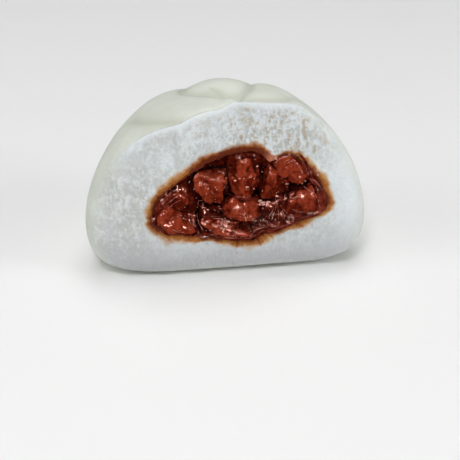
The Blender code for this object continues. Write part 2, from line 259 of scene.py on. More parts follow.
def directions(off, around):
    """Unit vectors at an angle off the y axis and an angle round it."""
    return np.stack(
        [np.sin(off) * np.cos(around), np.cos(off) + 0 * around, np.sin(off) * np.sin(around)], -1
    )


def smooth_line(points, steps=8):
    """More points along a line, on a Catmull-Rom curve through the given ones."""
    points = np.array(points, dtype=float)
    ends = (2 * points[:1] - points[1:2], points, 2 * points[-1:] - points[-2:-1])
    before, here, after, beyond = (np.concatenate(ends)[k : k + len(points) - 1] for k in range(4))
    t = np.linspace(0, 1, steps, endpoint=False)[:, None, None]
    curve = (
        2 * here
        + (after - before) * t
        + (2 * before - 5 * here + 4 * after - beyond) * t**2
        + (3 * here - before - 3 * after + beyond) * t**3
    ) / 2
    inner = curve.transpose(1, 0, 2).reshape(-1, points.shape[1])
    return np.concatenate([inner, points[-1:]])


def beside_line(x, y, line):
    """Each point's distance from a line in the plane, its side (1 left, -1 right) and how far along
    the line it lies, from 0 to 1."""
    start, step = line[:-1], np.diff(line, axis=0)
    off_x, off_y = x[..., None] - start[:, 0], y[..., None] - start[:, 1]
    share = (off_x * step[:, 0] + off_y * step[:, 1]) / (step**2).sum(axis=1)
    share = np.clip(share, 0, 1)
    away = np.hypot(off_x - share * step[:, 0], off_y - share * step[:, 1])
    nearest = away.argmin(axis=-1)[..., None]
    side = np.take_along_axis(step[:, 0] * off_y - step[:, 1] * off_x, nearest, -1)[..., 0]
    along = (nearest + np.take_along_axis(share, nearest, -1))[..., 0] / len(step)
    return np.take_along_axis(away, nearest, -1)[..., 0], np.sign(side), along


# The shape of the bread.


def superellipse_distance(out, up, out_reach, up_reach, powers):
    """About how far a point lies outside (out/R)^p + (up/H)^q = 1: value over slope."""
    p, q = powers
    across, along = out / out_reach, up / up_reach
    value = across**p + along**q - 1
    slope = np.hypot(p / out_reach * across ** (p - 1), q / up_reach * along ** (q - 1))
    return value / np.maximum(slope, 1 / out_reach)


def top_relief(x, y, depth):
    """How far the gathered top rises, in metres, and how much painted shade lies in its creases,
    from 0 to 1: round swells, less creases whose sides fall away as exp(-distance / reach)."""
    rise, shaded = rounds(x, y, FOLDS), 0 * x
    for (deep, left, right), points in CREASES:
        away, side, along = beside_line(x / MM, y / MM, smooth_line(points))
        away = np.hypot(away, CREASE_ROUNDING) - CREASE_ROUNDING
        reach = np.where(side > 0, left, right)
        ends = smooth_step(0, CREASE_ENDS[0], along) * smooth_step(1, CREASE_ENDS[1], along)
        rise -= deep * ends * np.exp(-away / reach)
        # Painted shade, deepest in the bottoms of the deeper creases.
        shaded += np.sqrt(deep) * ends * np.exp(-away / (0.35 * reach + 0.5))
    return rise * depth * MM, np.clip(shaded, 0, 1)


def dome_distance(x, y, z):
    """About how far a point lies outside the skin of the whole bun."""
    out = np.maximum(np.hypot(x, y), TINY)
    up = z - WAIST_HEIGHT
    dome = superellipse_distance(out, np.maximum(up, TINY), BUN_RADIUS, DOME_RISE, DOME_POWERS)
    belly = superellipse_distance(out, np.maximum(-up, TINY), BUN_RADIUS, BELLY_DROP, BELLY_POWERS)
    return np.where(up > 0, dome, belly)


def face_place(x, z):
    """How far the torn face stands in front of the axis: a leaning plane, less a bulge that grows
    with the square of the distance from its middle, plus waves and round swells."""
    across = x / BUN_RADIUS
    up = (z - FACE_MID_HEIGHT) / (WAIST_HEIGHT + DOME_RISE - FACE_MID_HEIGHT)
    at_sides, at_top, at_bottom = FACE_BULGE
    bulge = at_sides * across**2 + np.where(up > 0, at_top, at_bottom) * up**2
    depth, apart_x, apart_z = FACE_WAVES
    place = FACE_OFFSET - math.tan(FACE_LEAN) * (z - FACE_MID_HEIGHT) - bulge
    place = place + depth * np.sin(x / apart_x) * np.sin(z / apart_z)
    return place + rounds(x, z, FACE_SWELLS) * MM


def behind_face(x, z, depth):
    """Places at a depth behind the torn face."""
    return np.stack([x, -face_place(x, z) + depth, z], -1)


def across_face(reach, around):
    """The x and z of places at a distance from the heart, in a direction across the face."""
    return HEART[0] + reach * np.cos(around), HEART[2] + reach * np.sin(around)


def bun_distance(x, y, z):
    """About how far a point lies outside the torn bun: inside the skin, behind the face, over 0."""
    low = np.clip((WAIST_HEIGHT + RIM_SOFTENS * DOME_RISE - z) / DOME_RISE, 0, 1)
    rounding = RIM_ROUNDING[0] + (RIM_ROUNDING[1] - RIM_ROUNDING[0]) * low
    torn = smooth_max(dome_distance(x, y, z), -y - face_place(x, z), rounding)
    return smooth_max(torn, -z, BASE_ROUNDING)


def halve(outside, shape):
    """The distance at which outside(distance) turns true, by halving the interval."""
    near, far = np.zeros(shape), np.full(shape, FAR_OUT)
    for _ in range(HALVINGS):
        middle = (near + far) / 2
        beyond = outside(middle)
        far = np.where(beyond, middle, far)
        near = np.where(beyond, near, middle)
    return near


def outer_surface(off, around):
    """Where rays from the heart leave the torn bun, by the angle off the way out of the face and
    the angle round it."""
    ways = directions(off, around) * (1, -1, 1)

    def places(reach):
        """Places at a distance along the rays."""
        return HEART + ways * reach[..., None]

    def outside(reach):
        """Whether they are past the bun's surface."""
        return bun_distance(*np.moveaxis(places(reach), -1, 0)) > 0

    return places(halve(outside, off.shape))


def angle_off(reach, around):
    """The angle at the heart between the way out of the face and a place across the face."""
    return np.arctan2(reach, HEART[1] + face_place(*across_face(reach, around)))


def rim_angle(around):
    """The angle off the way out of the face at which the face ends in the skin."""

    def outside(reach):
        """Whether the face, at a distance across it, is past the skin or under the base."""
        x, z = across_face(reach, around)
        return np.maximum(dome_distance(x, -face_place(x, z), z), -z) > 0

    return angle_off(halve(outside, around.shape), around)


def closed_ring(around):
    """A circle through the noise, for what varies round the opening."""
    return np.stack([np.cos(around), np.sin(around), 0 * around], -1) * 30 * MM


def opening_reach(around):
    """How far the opening's edge is from the heart, across the face, in each direction: two half
    ellipses that share their tips, with dips and a ragged edge."""
    turn = np.linspace(-math.pi, math.pi, OUTLINE_POINTS)
    upper = np.sin(turn) > 0
    x = OPENING_X + OPENING_HALF_WIDTH * np.cos(turn)
    height = np.where(upper, OPENING_RISE, OPENING_SAG)
    z = OPENING_Z + OPENING_TILT * (x - OPENING_X) + height * np.sin(turn)
    for above, middle, depth, width in EDGE_DIPS:
        z = z - np.where(upper == above, depth * np.exp(-(((x - middle) / width) ** 2)), 0)
    angle = np.arctan2(z - HEART[2], x - HEART[0])
    order = np.argsort(angle)
    reach = np.hypot(x - HEART[0], z - HEART[2])[order]
    reach = np.interp(around, angle[order], reach, period=2 * math.pi)
    ring = closed_ring(around)
    ragged = EDGE_WAVES * layered_noise(ring, 4.2 * MM, 5) + EDGE_FRAYING * soft_noise(ring, MM, 9)
    return reach + ragged * (1 + 0.5 * (np.sin(around) < 0))


# Meshes.


def ring_faces(rows, columns):
    """The quads between closed rings of points, and the triangles that close both ends round the
    two pole points that follow them."""
    ring, start = np.arange(columns), np.arange(rows - 1)[:, None] * columns
    after = (ring + 1) % columns
    corners = (start + ring, start + after, start + columns + after, start + columns + ring)
    pole, last = rows * columns + 0 * ring, (rows - 1) * columns
    fans = (after, ring, pole), (last + ring, last + after, pole + 1)
    return np.stack(corners, -1).reshape(-1, 4), np.concatenate([np.stack(f, -1) for f in fans])


def volume_under(points, faces):
    """Six times the volume between faces and the origin."""
    corners = points[faces]
    return (corners[:, :1] * np.cross(corners[:, 1:-1], corners[:, 2:])).sum()


def with_poles(rows):
    """A grid's points or values as one list, and then the means of its first and last rows."""
    return np.concatenate([rows.reshape(-1, *rows.shape[2:]), rows[[0, -1]].mean(axis=1)])


def add_piece(name, grids, material, slot, covers=(), **values):
    """One object from grids of points, each an array of rows by columns by 3. Columns close into
    rings, and a pole point closes each end. Faces are turned outwards by the sign of the volume
    under each grid. values are grids of numbers, stored as attributes of the points."""
    points, corners, counts = [], [], []
    for grid in grids:
        flat, faces = with_poles(grid), ring_faces(*grid.shape[:2])
        if sum(volume_under(flat, some) for some in faces) < 0:
            faces = [some[:, ::-1] for some in faces]
        for some in faces:
            corners.append(some.reshape(-1) + sum(map(len, points)))
            counts.append(np.full(len(some), some.shape[1]))
        points.append(flat)
    points, corners, counts = (np.concatenate(parts) for parts in (points, corners, counts))
    mesh = bpy.data.meshes.new(name)
    mesh.vertices.add(len(points))
    mesh.vertices.foreach_set("co", points.reshape(-1))
    mesh.loops.add(len(corners))
    mesh.loops.foreach_set("vertex_index", corners)
    mesh.polygons.add(len(counts))
    mesh.polygons.foreach_set("loop_start", np.cumsum(counts) - counts)
    mesh.polygons.foreach_set("use_smooth", np.ones(len(counts), dtype=bool))
    for key, parts in values.items():
        attribute = mesh.attributes.new(key, "FLOAT", "POINT")
        attribute.data.foreach_set("value", np.concatenate([with_poles(part) for part in parts]))
    mesh.update(calc_edges=True)
    if mesh.validate():
        raise RuntimeError(f"{name} has faces that don't hold together")
    mesh.materials.append(material)
    piece = bpy.data.objects.new(name, mesh)
    bpy.context.scene.collection.objects.link(piece)
    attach(piece, "root")
    if covers:
        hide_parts(*covers)
    return piece


def from_axis(places):
    """Moves places given from the bun's own axis into the model's frame."""
    return places + np.array([0.0, BUN_AXIS_Y, 0.0])


def slopes(grid):
    """Unit normals of a closed grid, from the differences between neighbouring rows and columns."""
    along = np.gradient(grid, axis=0)
    across = np.roll(grid, -1, axis=1) - np.roll(grid, 1, axis=1)
    normal = np.cross(along, across)
    return normal / np.maximum(np.linalg.norm(normal, axis=-1, keepdims=True), TINY)


# Materials.


def feed(tree, node, inputs):
    """Sets inputs of a node, by name or number, to numbers, colours or other nodes' outputs."""
    for key, value in inputs.items():
        socket = node.inputs[key]
        if isinstance(value, bpy.types.NodeSocket):
            tree.links.new(value, socket)
        else:
            socket.default_value = (*value, 1.0) if socket.type == "RGBA" else value


def add_node(tree, kind, inputs=None, **settings):
    """A node with its properties and some of its inputs set."""
    node = tree.nodes.new(kind)
    for name, value in settings.items():
        setattr(node, name, value)
    feed(tree, node, inputs or {})
    return node


def maths(tree, operation, *values):
    """The result of a sum on sockets or numbers."""
    return add_node(tree, "ShaderNodeMath", dict(enumerate(values)), operation=operation).outputs[0]


def mix_colours(tree, factor, first, second):
    """A colour between two others. Each colour is a socket or three numbers."""
    inputs = {0: factor, 6: first, 7: second}
    return add_node(tree, "ShaderNodeMix", inputs, data_type="RGBA").outputs[2]


def carried(tree, value, low, high, to_low=0.0, to_high=1.0, smooth=True):
    """A value carried from one range to another, smoothly or straight."""
    kind = "SMOOTHSTEP" if smooth else "LINEAR"
    inputs = dict(enumerate((value, low, high, to_low, to_high)))
    return add_node(tree, "ShaderNodeMapRange", inputs, interpolation_type=kind).outputs[0]


def paint(tree, colour, *coats):
    """A colour with others laid over it in turn: each one's colour, the value it goes by, the
    values at which it starts and is at its fullest, and how full it then is."""
    for over, value, start, full, most in coats:
        colour = mix_colours(tree, carried(tree, value, start, full, 0.0, most), colour, over)
    return colour


def noise(tree, place, scale, detail, roughness, stretch=None):
    """Noise over places in metres, stretched along an axis if asked."""
    if stretch:
        place = add_node(tree, "ShaderNodeMapping", {0: place, "Scale": stretch}).outputs[0]
    inputs = {"Vector": place, "Scale": scale, "Detail": detail, "Roughness": roughness}
    return add_node(tree, "ShaderNodeTexNoise", inputs).outputs[0]


def attribute(tree, name):
    """A number stored on the piece's points."""
    return add_node(tree, "ShaderNodeAttribute", attribute_name=name).outputs["Fac"]


def bump(tree, height, distance):
    """The normal that a height in metres gives."""
    inputs = {"Height": height, "Distance": distance, "Strength": 1.0}
    return add_node(tree, "ShaderNodeBump", inputs).outputs[0]


def grain_group():
    """Shared fine grain: a height, and a mask of its hollows for painted shade, from noise at two
    sizes.
    """
    name = "food_grain"
    if name in bpy.data.node_groups:
        return bpy.data.node_groups[name]
    group = bpy.data.node_groups.new(name, "ShaderNodeTree")
    for socket, way, kind in (
        ("Places", "INPUT", "Vector"),
        ("Scale", "INPUT", "Float"),
        ("Height", "OUTPUT", "Float"),
        ("Hollows", "OUTPUT", "Float"),
    ):
        group.interface.new_socket(name=socket, in_out=way, socket_type=f"NodeSocket{kind}")
    places, scale = add_node(group, "NodeGroupInput").outputs[:2]
    coarse = noise(group, places, scale, 3.0, 0.6)
    fine = noise(group, places, maths(group, "MULTIPLY", scale, 3.1), 2.0, 0.7)
    height = maths(group, "MULTIPLY_ADD", fine, 0.4, coarse)
    # The hollows are for painted shade in the low parts of the grain.
    hollows = carried(group, coarse, 0.62, 0.38)
    add_node(group, "NodeGroupOutput", {"Height": height, "Hollows": hollows})
    return group


def new_material(name, grain_scale):
    """A material's tree, its Principled shader, the places on the piece in metres, and the shared
    grain's height and the mask of its hollows for painted shade, at a scale."""
    material = bpy.data.materials.new(name)
    material.use_nodes = True
    tree = material.node_tree
    places = tree.nodes.new("ShaderNodeTexCoord").outputs["Object"]
    inputs = {"Places": places, "Scale": grain_scale}
    grain = add_node(tree, "ShaderNodeGroup", inputs, node_tree=grain_group())
    return material, tree.nodes["Principled BSDF"], places, grain.outputs[:2]


def bread_material(look):
    """Satin skin, matt crumb where it is torn, and sauce soaked into the edge of the opening."""
    material, shader, places, (height, hollows) = new_material("steamed_bread", 1100.0)
    tree = material.node_tree
    names = ("torn", "pits", "soaked", "tufts", "rim", "lobe", "shaded")
    torn, pits, soaked, tufts, rim, lobe, shaded = (attribute(tree, name) for name in names)
    across, _, up = add_node(tree, "ShaderNodeSeparateXYZ", {0: places}).outputs
    cloud = noise(tree, places, 75.0, 4.0, 0.6)
    flecks = noise(tree, places, 560.0, 3.0, 0.65)
    blotches = noise(tree, places, 380.0, 5.0, 0.7)
    patches = noise(tree, places, 170.0, 3.0, 0.6)

    # The skin: duller patches at random, and painted shade in the bottoms of its creases.
    skin = paint(
        tree,
        look.skin_shade,
        (look.skin, cloud, 0.35, 0.65, 1.0),
        (look.skin_crease_shade, shaded, 0.0, 1.0, 0.55),
    )
    # The crumb: duller patches at random, painted light on its tufts and painted shade between
    # them, pale and dull flecks at random, and beige pits.
    cloudy = carried(tree, cloud, 0.35, 0.65, 0.1)
    crumb = paint(
        tree,
        mix_colours(tree, cloudy, look.crumb_shade, look.crumb),
        (look.crumb_pale_and_highlight, tufts, 0.5, 1.0, 0.8),
        (look.crumb_shade, tufts, 0.5, 0.0, 0.85),
        (look.crumb_pale_and_highlight, flecks, 0.45, 0.72, 0.3),
        (look.crumb_shade, flecks, 0.5, 0.28, 0.35),
        (look.pit, pits, 0.0, 1.0, 0.85),
        # Painted shade in the hollows of the grain, in the pits' colour.
        (look.pit, hollows, 0.0, 1.0, 0.16),
    )
    # Painted highlight along the torn rim, painted light towards the right of the face and painted
    # shade towards the base.
    crumb = paint(
        tree,
        mix_colours(tree, rim, crumb, look.crumb_pale_and_highlight),
        (look.crumb_pale_and_highlight, across, 0.026, 0.044, 0.75),
        (look.crumb_base_shade, up, 0.026, 0.002, 0.95),
    )

    # The stain goes by how soaked the crumb is, uneven near its edge by blotches and within by
    # patches, and is deeper above the filling.
    uneven = maths(tree, "MULTIPLY_ADD", blotches, 0.5, -0.25)
    soak = maths(tree, "MULTIPLY", uneven, carried(tree, soaked, 0.0, 0.5))
    soak = maths(tree, "ADD", soak, soaked)
    depth = maths(tree, "ADD", maths(tree, "MULTIPLY_ADD", patches, 1.1, -0.55), soak)
    depth = maths(tree, "ADD", depth, carried(tree, up, 0.040, 0.047, 0.0, 0.22))
    stain = paint(
        tree,
        look.stain_edge,
        (look.stain, depth, 0.20, 0.62, 1.0),
        (look.stain_deep, depth, 0.60, 0.92, 1.0),
    )
    stain = mix_colours(tree, lobe, stain, look.stain_pink)
    bread = mix_colours(tree, torn, skin, crumb)

    rough = carried(tree, torn, 0.0, 1.0, 0.5, 0.85, smooth=False)
    wet = {0: carried(tree, soaked, 0.3, 0.9), 2: rough, 3: 0.3}
    glossy = carried(tree, soaked, 0.3, 0.8), carried(tree, patches, 0.50, 0.72)
    relief = maths(tree, "MULTIPLY", height, carried(tree, torn, 0.0, 1.0, 0.06, smooth=False))
    settings = {
        "Base Color": paint(tree, bread, (stain, soak, -0.02, 0.50, 1.0)),
        "Roughness": add_node(tree, "ShaderNodeMix", wet).outputs[0],
        "Coat Weight": maths(tree, "MULTIPLY", *glossy),
        "Coat Roughness": 0.22,
        "Subsurface Weight": 0.25,
        "Subsurface Radius": (1.0, 0.8, 0.6),
        "Subsurface Scale": 0.0015,
        "Specular IOR Level": 0.04,
        "Normal": bump(tree, relief, 0.0008),
    }
    feed(tree, shader, settings)
    return material


EVEN = (1.0, 1.0, 1.0)  # the same along every axis


def glazed_material(name, colours, streaked, gloss, smooth):
    """Glossy food: three tones in patches and in fibres, whose noise is scaled along each axis by
    streaked. gloss is the strength of its shine, and smooth its roughness where it is wettest."""
    dark, middle, bright = colours
    material, shader, places, (height, hollows) = new_material(name, 430.0)
    tree = material.node_tree
    patches = noise(tree, places, 260.0, 3.0, 0.6)
    fibres = noise(tree, places, 620.0, 3.0, 0.65, stretch=streaked)
    mottle = noise(tree, places, 850.0, 2.0, 0.6)
    both = maths(tree, "ADD", patches, fibres)
    # The stored tone carries the painted light and shade of the dice and the sauce.
    tone = maths(tree, "MULTIPLY_ADD", both, 1.2, attribute(tree, "tone"))
    colour = paint(
        tree,
        dark,
        (middle, tone, 0.70, 1.25, 1.0),
        (bright, tone, 1.10, 1.70, 1.0),
        # Painted shade in the hollows of the grain.
        (dark, hollows, 0.0, 1.0, 0.12),
        (dark, mottle, 0.5, 0.3, 0.6),
        # Painted sheen: lighter mottled patches in the brightest tone.
        (bright, mottle, 0.56, 0.74, 0.35),
    )
    wet = maths(tree, "MULTIPLY_ADD", noise(tree, places, 300.0, 3.0, 0.6), 1.6, -0.8)
    wet = maths(tree, "ADD", wet, attribute(tree, "wet"))
    settings = {
        "Base Color": colour,
        "Roughness": carried(tree, wet, 0.2, 0.8, 0.27, smooth),
        "Specular IOR Level": gloss,
        "Specular Tint": (1.0, 0.5, 0.42),
        "Subsurface Weight": 0.2,
        "Subsurface Radius": (1.0, 0.22, 0.12),
        "Subsurface Scale": 0.0016,
        "Normal": bump(tree, height, 0.00014),
    }
    feed(tree, shader, settings)
    return material


# The bread.


def crumb_relief(places, to_rim):
    """Height of the torn crumb, in metres, how strong its beige pits are and how lit its tufts
    are, both from 0 to 1. The height sums broad swells, tufts and fibres that run upright. How lit
    the tufts are is painted light and shade: lighter where tufts, fibres and bumps stand out and
    on the swells beside the crease, darker between them and in the crease, and lighter in a band
    below the opening. The pits are the upright streaks and the high parts of small noise, which
    gather at the upper right."""
    x, z = places[..., 0], places[..., 2]
    coarse = rounds(x, z, COARSE_CRUMB)
    low = smooth_step(0.026, 0.014, z)
    upright = places * (1, 1, 0.3)
    bends = [soft_noise(places, 1.7 * MM, 55 + k) for k in range(3)]
    bent = places + 0.5 * MM * np.stack(bends, -1)
    medium = layered_noise(places, 3.2 * MM, 51, 3)
    tufts = 0.6 * (1 - 2 * np.abs(soft_noise(bent, 1.6 * MM, 61)))
    tufts = tufts + 0.6 * (1 - 2 * np.abs(soft_noise(bent, 0.9 * MM, 62)))
    creases = rounds(x + 0.12 * (z - 0.052), z, CRUMB_CREASES)
    fibres = soft_noise(upright, 0.9 * MM, 31) + 0.6 * soft_noise(upright, 0.55 * MM, 32)
    fibres = fibres * (0.35 + 0.65 * np.maximum(low, coarse))
    flecks = layered_noise(bent * (1, 1, 0.7), MM, 81, 3)
    flecks = flecks + 0.35 * layered_noise(places, 6 * MM, 91, 2)
    streaks = rounds(x, z, CRUMB_STREAKS) + 0.45 * layered_noise(bent * (1, 1, 0.6), MM, 71, 2)
    pits = 0.9 * smooth_step(0.0, 0.5, flecks) * (0.14 + 0.86 * coarse)
    pits = np.clip(smooth_step(0.3, 0.85, streaks) + pits, 0, 1)
    pits = pits * smooth_step(0.8 * MM, 3 * MM, to_rim)
    height = 0.45 * layered_noise(places, 9 * MM, 41, 2) + 0.28 * medium
    height = height + (0.15 + 0.2 * coarse) * tufts + 0.8 * creases - 0.4 * pits
    height = height + (0.07 + 0.07 * low + 0.07 * coarse) * fibres
    # Painted light and shade: lighter where the relief stands out and on the swells beside the
    # crease, darker between the tufts and in the crease.
    light = 0.5 + 0.2 * medium + (0.32 + 0.4 * coarse) * tufts + 0.2 * fibres + 0.5 * creases
    # A painted lighter band across the crumb below the opening.
    light = light + 0.3 * np.exp(-(((z - 0.0125) / 0.003) ** 2) - ((x - 0.002) / 0.03) ** 4)
    return height * MM, pits, np.clip(light, 0, 1)


def bread_rings(sizes, around):
    """The bread before its relief, as rings round the way out of the face: from the bottom of the
    hollow along its wall, round its lip, over the torn crumb to the rim, and over the smooth skin
    to the back. Also the numbers of the first rings of the lip, the crumb and the skin."""
    edge = opening_reach(around)
    below = smooth_step(0.2, -0.3, np.sin(around))
    lip = LIP_WIDTH + LIP_WAVES * soft_noise(closed_ring(around), 5 * MM, 3) + LOW_LIP_WIDER * below

    # The wall: the edge's outline, drawn in by the root of 1 - (depth / deepest)^2 to a power.
    depth = np.linspace(0.97, 0.02, sizes.wall_rows)[:, None] ** 1.6 * POCKET_DEPTH
    depth = np.maximum(depth, LIP_DEPTH * lip)
    drawn_in = np.sqrt(np.maximum(1 - (depth / POCKET_DEPTH) ** 2, 0)) ** HOLLOW_POWER
    wall = behind_face(*across_face(drawn_in * edge, around), depth)

    # The lip: a quarter circle from the wall out on to the face.
    turn = np.linspace(0, math.pi / 2, 8)[1:-1, None]
    lip_out = across_face(edge + lip * (1 - np.cos(turn)), around)
    lip_rings = behind_face(*lip_out, LIP_DEPTH * lip * (1 - np.sin(turn)))

    # The crumb and the skin, out to where rays from the heart leave the bun.
    start, rim = angle_off(edge + lip, around), rim_angle(around)
    crumb_off = start + (rim - start) * np.linspace(0, 1, sizes.crumb_rows)[:, None]
    share = np.linspace(0, 0.985, sizes.skin_rows + 1)[1:, None] ** 1.5
    outer = outer_surface(np.concatenate([crumb_off, rim + (math.pi - rim) * share]), around)
    crumb = len(wall) + len(lip_rings)
    return np.concatenate([wall, lip_rings, outer]), (len(wall), crumb, crumb + sizes.crumb_rows)


def soaking(places, past_edge):
    """How soaked the bread is with sauce, out to a ragged width from the opening's edge, and how
    far it is the pale lobe."""
    x, z = places[..., 0], places[..., 2]
    bottom, left = smooth_step(0.030, 0.018, z), smooth_step(0.0, -0.022, x)
    hanging = np.exp(-(((x - NOTCH_X) / NOTCH_HALF_WIDTH) ** 2)) * (z > 0.035)
    width = STAIN_WIDTH + 0.3 * bottom + 0.3 * left - 0.4 * hanging + rounds(x, z, STAIN_SPOTS)
    width = width + 1.8 * layered_noise(places, 5 * MM, 111, 3)
    width = width + (0.15 + 0.4 * bottom) * layered_noise(places, 1.8 * MM, 112, 2)
    soaked = 1 - np.clip((past_edge / MM - 0.8) / np.maximum(width - 0.6, 0.8), 0, 1)
    return soaked, rounds(x, z, LOBE) * smooth_step(0.05, 0.3, soaked)


def make_bread(sizes, material):
    """The bread as one closed skin, with its relief and what its looks go by."""
    places, (lip, crumb, skin) = bread_rings(sizes, circle(sizes.bread_columns))
    normals = -slopes(places)
    steps = np.linalg.norm(np.diff(places, axis=0), axis=-1)
    run = np.concatenate([0 * steps[:1], np.cumsum(steps, axis=0)])
    to_rim = run[skin - 1] - run

    # How torn it is: fully on the crumb, past a soft foot of the rim and up to a crisp top of it.
    rim_x, rim_z = places[skin - 1, :, 0], places[skin - 1, :, 2]
    low = smooth_step(0.050, 0.024, rim_z)
    left = smooth_step(-0.026, -0.036, rim_x) * smooth_step(0.056, 0.042, rim_z)
    right = smooth_step(0.017, 0.033, rim_x) * smooth_step(0.066, 0.056, rim_z)
    soft = np.maximum(low, np.maximum(left, right))
    reach = RIM_REACH + SOFT_RIM_FURTHER * soft + RIGHT_RIM_FURTHER * right
    torn = 1 - smooth_step(-0.6 * soft - 0.2, 1, -to_rim / reach)

    # tufts here is the crumb's painted light and shade.
    height, pits, tufts = crumb_relief(places, np.maximum(to_rim, 0))
    rough = smooth_step(0.2 * MM, 2.2 * MM, to_rim + 2.5 * MM * low)
    rough = rough * smooth_step(6 * MM, 0, depth_behind(places))
    welt = WELT_HEIGHT * np.exp(-((to_rim / WELT_HALF_WIDTH) ** 2)) * (1 - soft)
    skin_waves = SKIN_WAVE_HEIGHT * layered_noise(places, 7 * MM, 101, 2) * (1 - torn)
    soaked, lobe = soaking(places, run - run[lip - 1])
    height = height * (1 - 0.6 * soaked)
    height = height + SOAKED_LUMP_HEIGHT * soaked * layered_noise(places, 1.5 * MM, 113, 2)
    places = places + normals * (height * rough + welt + skin_waves)[..., None]

    creased = smooth_step(CREASED_FROM, CREASED_FULLY, places[..., 2])
    creased[:crumb] = 0
    relief, shaded = top_relief(places[..., 0], places[..., 1], sizes.crease_depth)
    places[..., 2] += creased * relief
    return add_piece(
        "bread",
        [from_axis(places)],
        material,
        "steamed_dough",
        covers=("bun_dough",),
        torn=[torn],
        pits=[pits * rough],
        tufts=[tufts],
        soaked=[soaked],
        # A painted highlight along the torn rim, fainter where the rim is soft.
        rim=[0.9 * np.exp(-((to_rim / (2.2 * MM)) ** 2)) * (1 - 0.8 * soft) * torn],
        lobe=[lobe],
        # Painted shade in the bottoms of the top's creases.
        shaded=[shaded * creased],
    )


def depth_behind(places):
    """How far places lie behind the torn face."""
    return places[..., 1] + face_place(places[..., 0], places[..., 2])


# The pork.

DIE_GROWTH = 0.55 * MM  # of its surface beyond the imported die's flat sides
DIE_SQUARENESS = 15.0
SMALLEST_SIDE = 2.5e-6  # in square metres
# Heights of its relief, in millimetres.
LUMP_HEIGHT, KNOB_HEIGHT, SMALL_LUMP_HEIGHT, FIBRE_HEIGHT = 0.9, 0.5, 0.11, 0.25
# For each die the way its fibres run, their share of that height, its glaze and its tone.
FIBRE_WAYS = (
    (0.4, 0.2, 1.0),
    (0.1, 0.1, 1.0),
    (0.3, 0.3, 1.0),
    (1.0, 0.2, -0.6),
    (0.6, 0.3, 0.8),
    (1.0, 0.2, 0.3),
    (1.0, 0.1, -0.1),
    (1.0, 0.2, -0.3),
    (0.7, 0.2, 0.7),
    (0.25, 0.1, 1.0),
)
FIBRE_HEIGHTS = (0.08, 0.08, 0.10, 0.06, 0.10, 0.08, 0.10, 0.12, 0.18, 0.30)
DIE_WETNESS = (1.6, 1.1, 0.9, 1.5, 0.8, 0.9, 0.65, 0.9, 0.6, 0.0)
DIE_TONES = (0.15, -0.10, -0.22, 0.46, 0.12, 0.14, 0.06, 0.22, -0.24, -0.28)
# Painted light and shade across each die: how much paler it is painted per 5 mm to the right,
# backwards and up.
DIE_PAINTED_SHADING = (
    (0.05, 0.0, 0.12),
    (-0.26, 0.0, -0.02),
    (-0.02, 0.0, 0.22),
    (-0.12, 0.0, 0.34),
    (0.05, 0.0, 0.10),
    (0.10, 0.0, 0.20),
    (0.05, 0.0, -0.04),
    (-0.05, 0.0, 0.12),
    (-0.14, 0.0, 0.10),
    (0.10, 0.0, -0.35),
)
# Painted shade where a point lies behind the blurred front of the filling and on sides turned from
# the front, and a painted sheen on what faces up.
PAINTED_SHADOW, PAINTED_SIDE_SHADE, PAINTED_TOP_SHEEN = 0.31, 0.42, 0.25


def die_planes(node):
    """The middle of a die of pork and its main flat sides: unit normals and distances from the
    middle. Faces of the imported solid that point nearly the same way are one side, and small ones
    are left out."""

    def read(items, name, width):
        """One property of all the mesh's points or faces, as rows of numbers."""
        values = np.empty(len(items) * width)
        items.foreach_get(name, values)
        return values.reshape(-1, width)

    faces, points = node.data.polygons, read(node.data.vertices, "co", 3)
    normals, areas = read(faces, "normal", 3), read(faces, "area", 1)
    middle = (points.max(axis=0) + points.min(axis=0)) / 2
    _, side = np.unique(np.round(normals * 6).astype(int), axis=0, return_inverse=True)

    def summed(values):
        """For each side, the sum over its faces of values times area."""
        return np.stack([np.bincount(side.reshape(-1), part) for part in (areas * values).T], -1)

    area, mean = summed(1), summed(normals)
    mean = mean / np.maximum(np.linalg.norm(mean, axis=1, keepdims=True), TINY)
    place = summed(read(faces, "center", 3)) / np.maximum(area, TINY)
    distance = ((place - middle) * mean).sum(axis=1)
    kept = (area[:, 0] > SMALLEST_SIDE) & (distance > 0.5 * MM)
    return middle, mean[kept], distance[kept]


def outside_die(places, die):
    """How far places lie outside a die: the largest distance beyond any of its sides."""
    middle, normals, distances = die
    return ((places - middle) @ normals.T - distances).max(axis=-1)


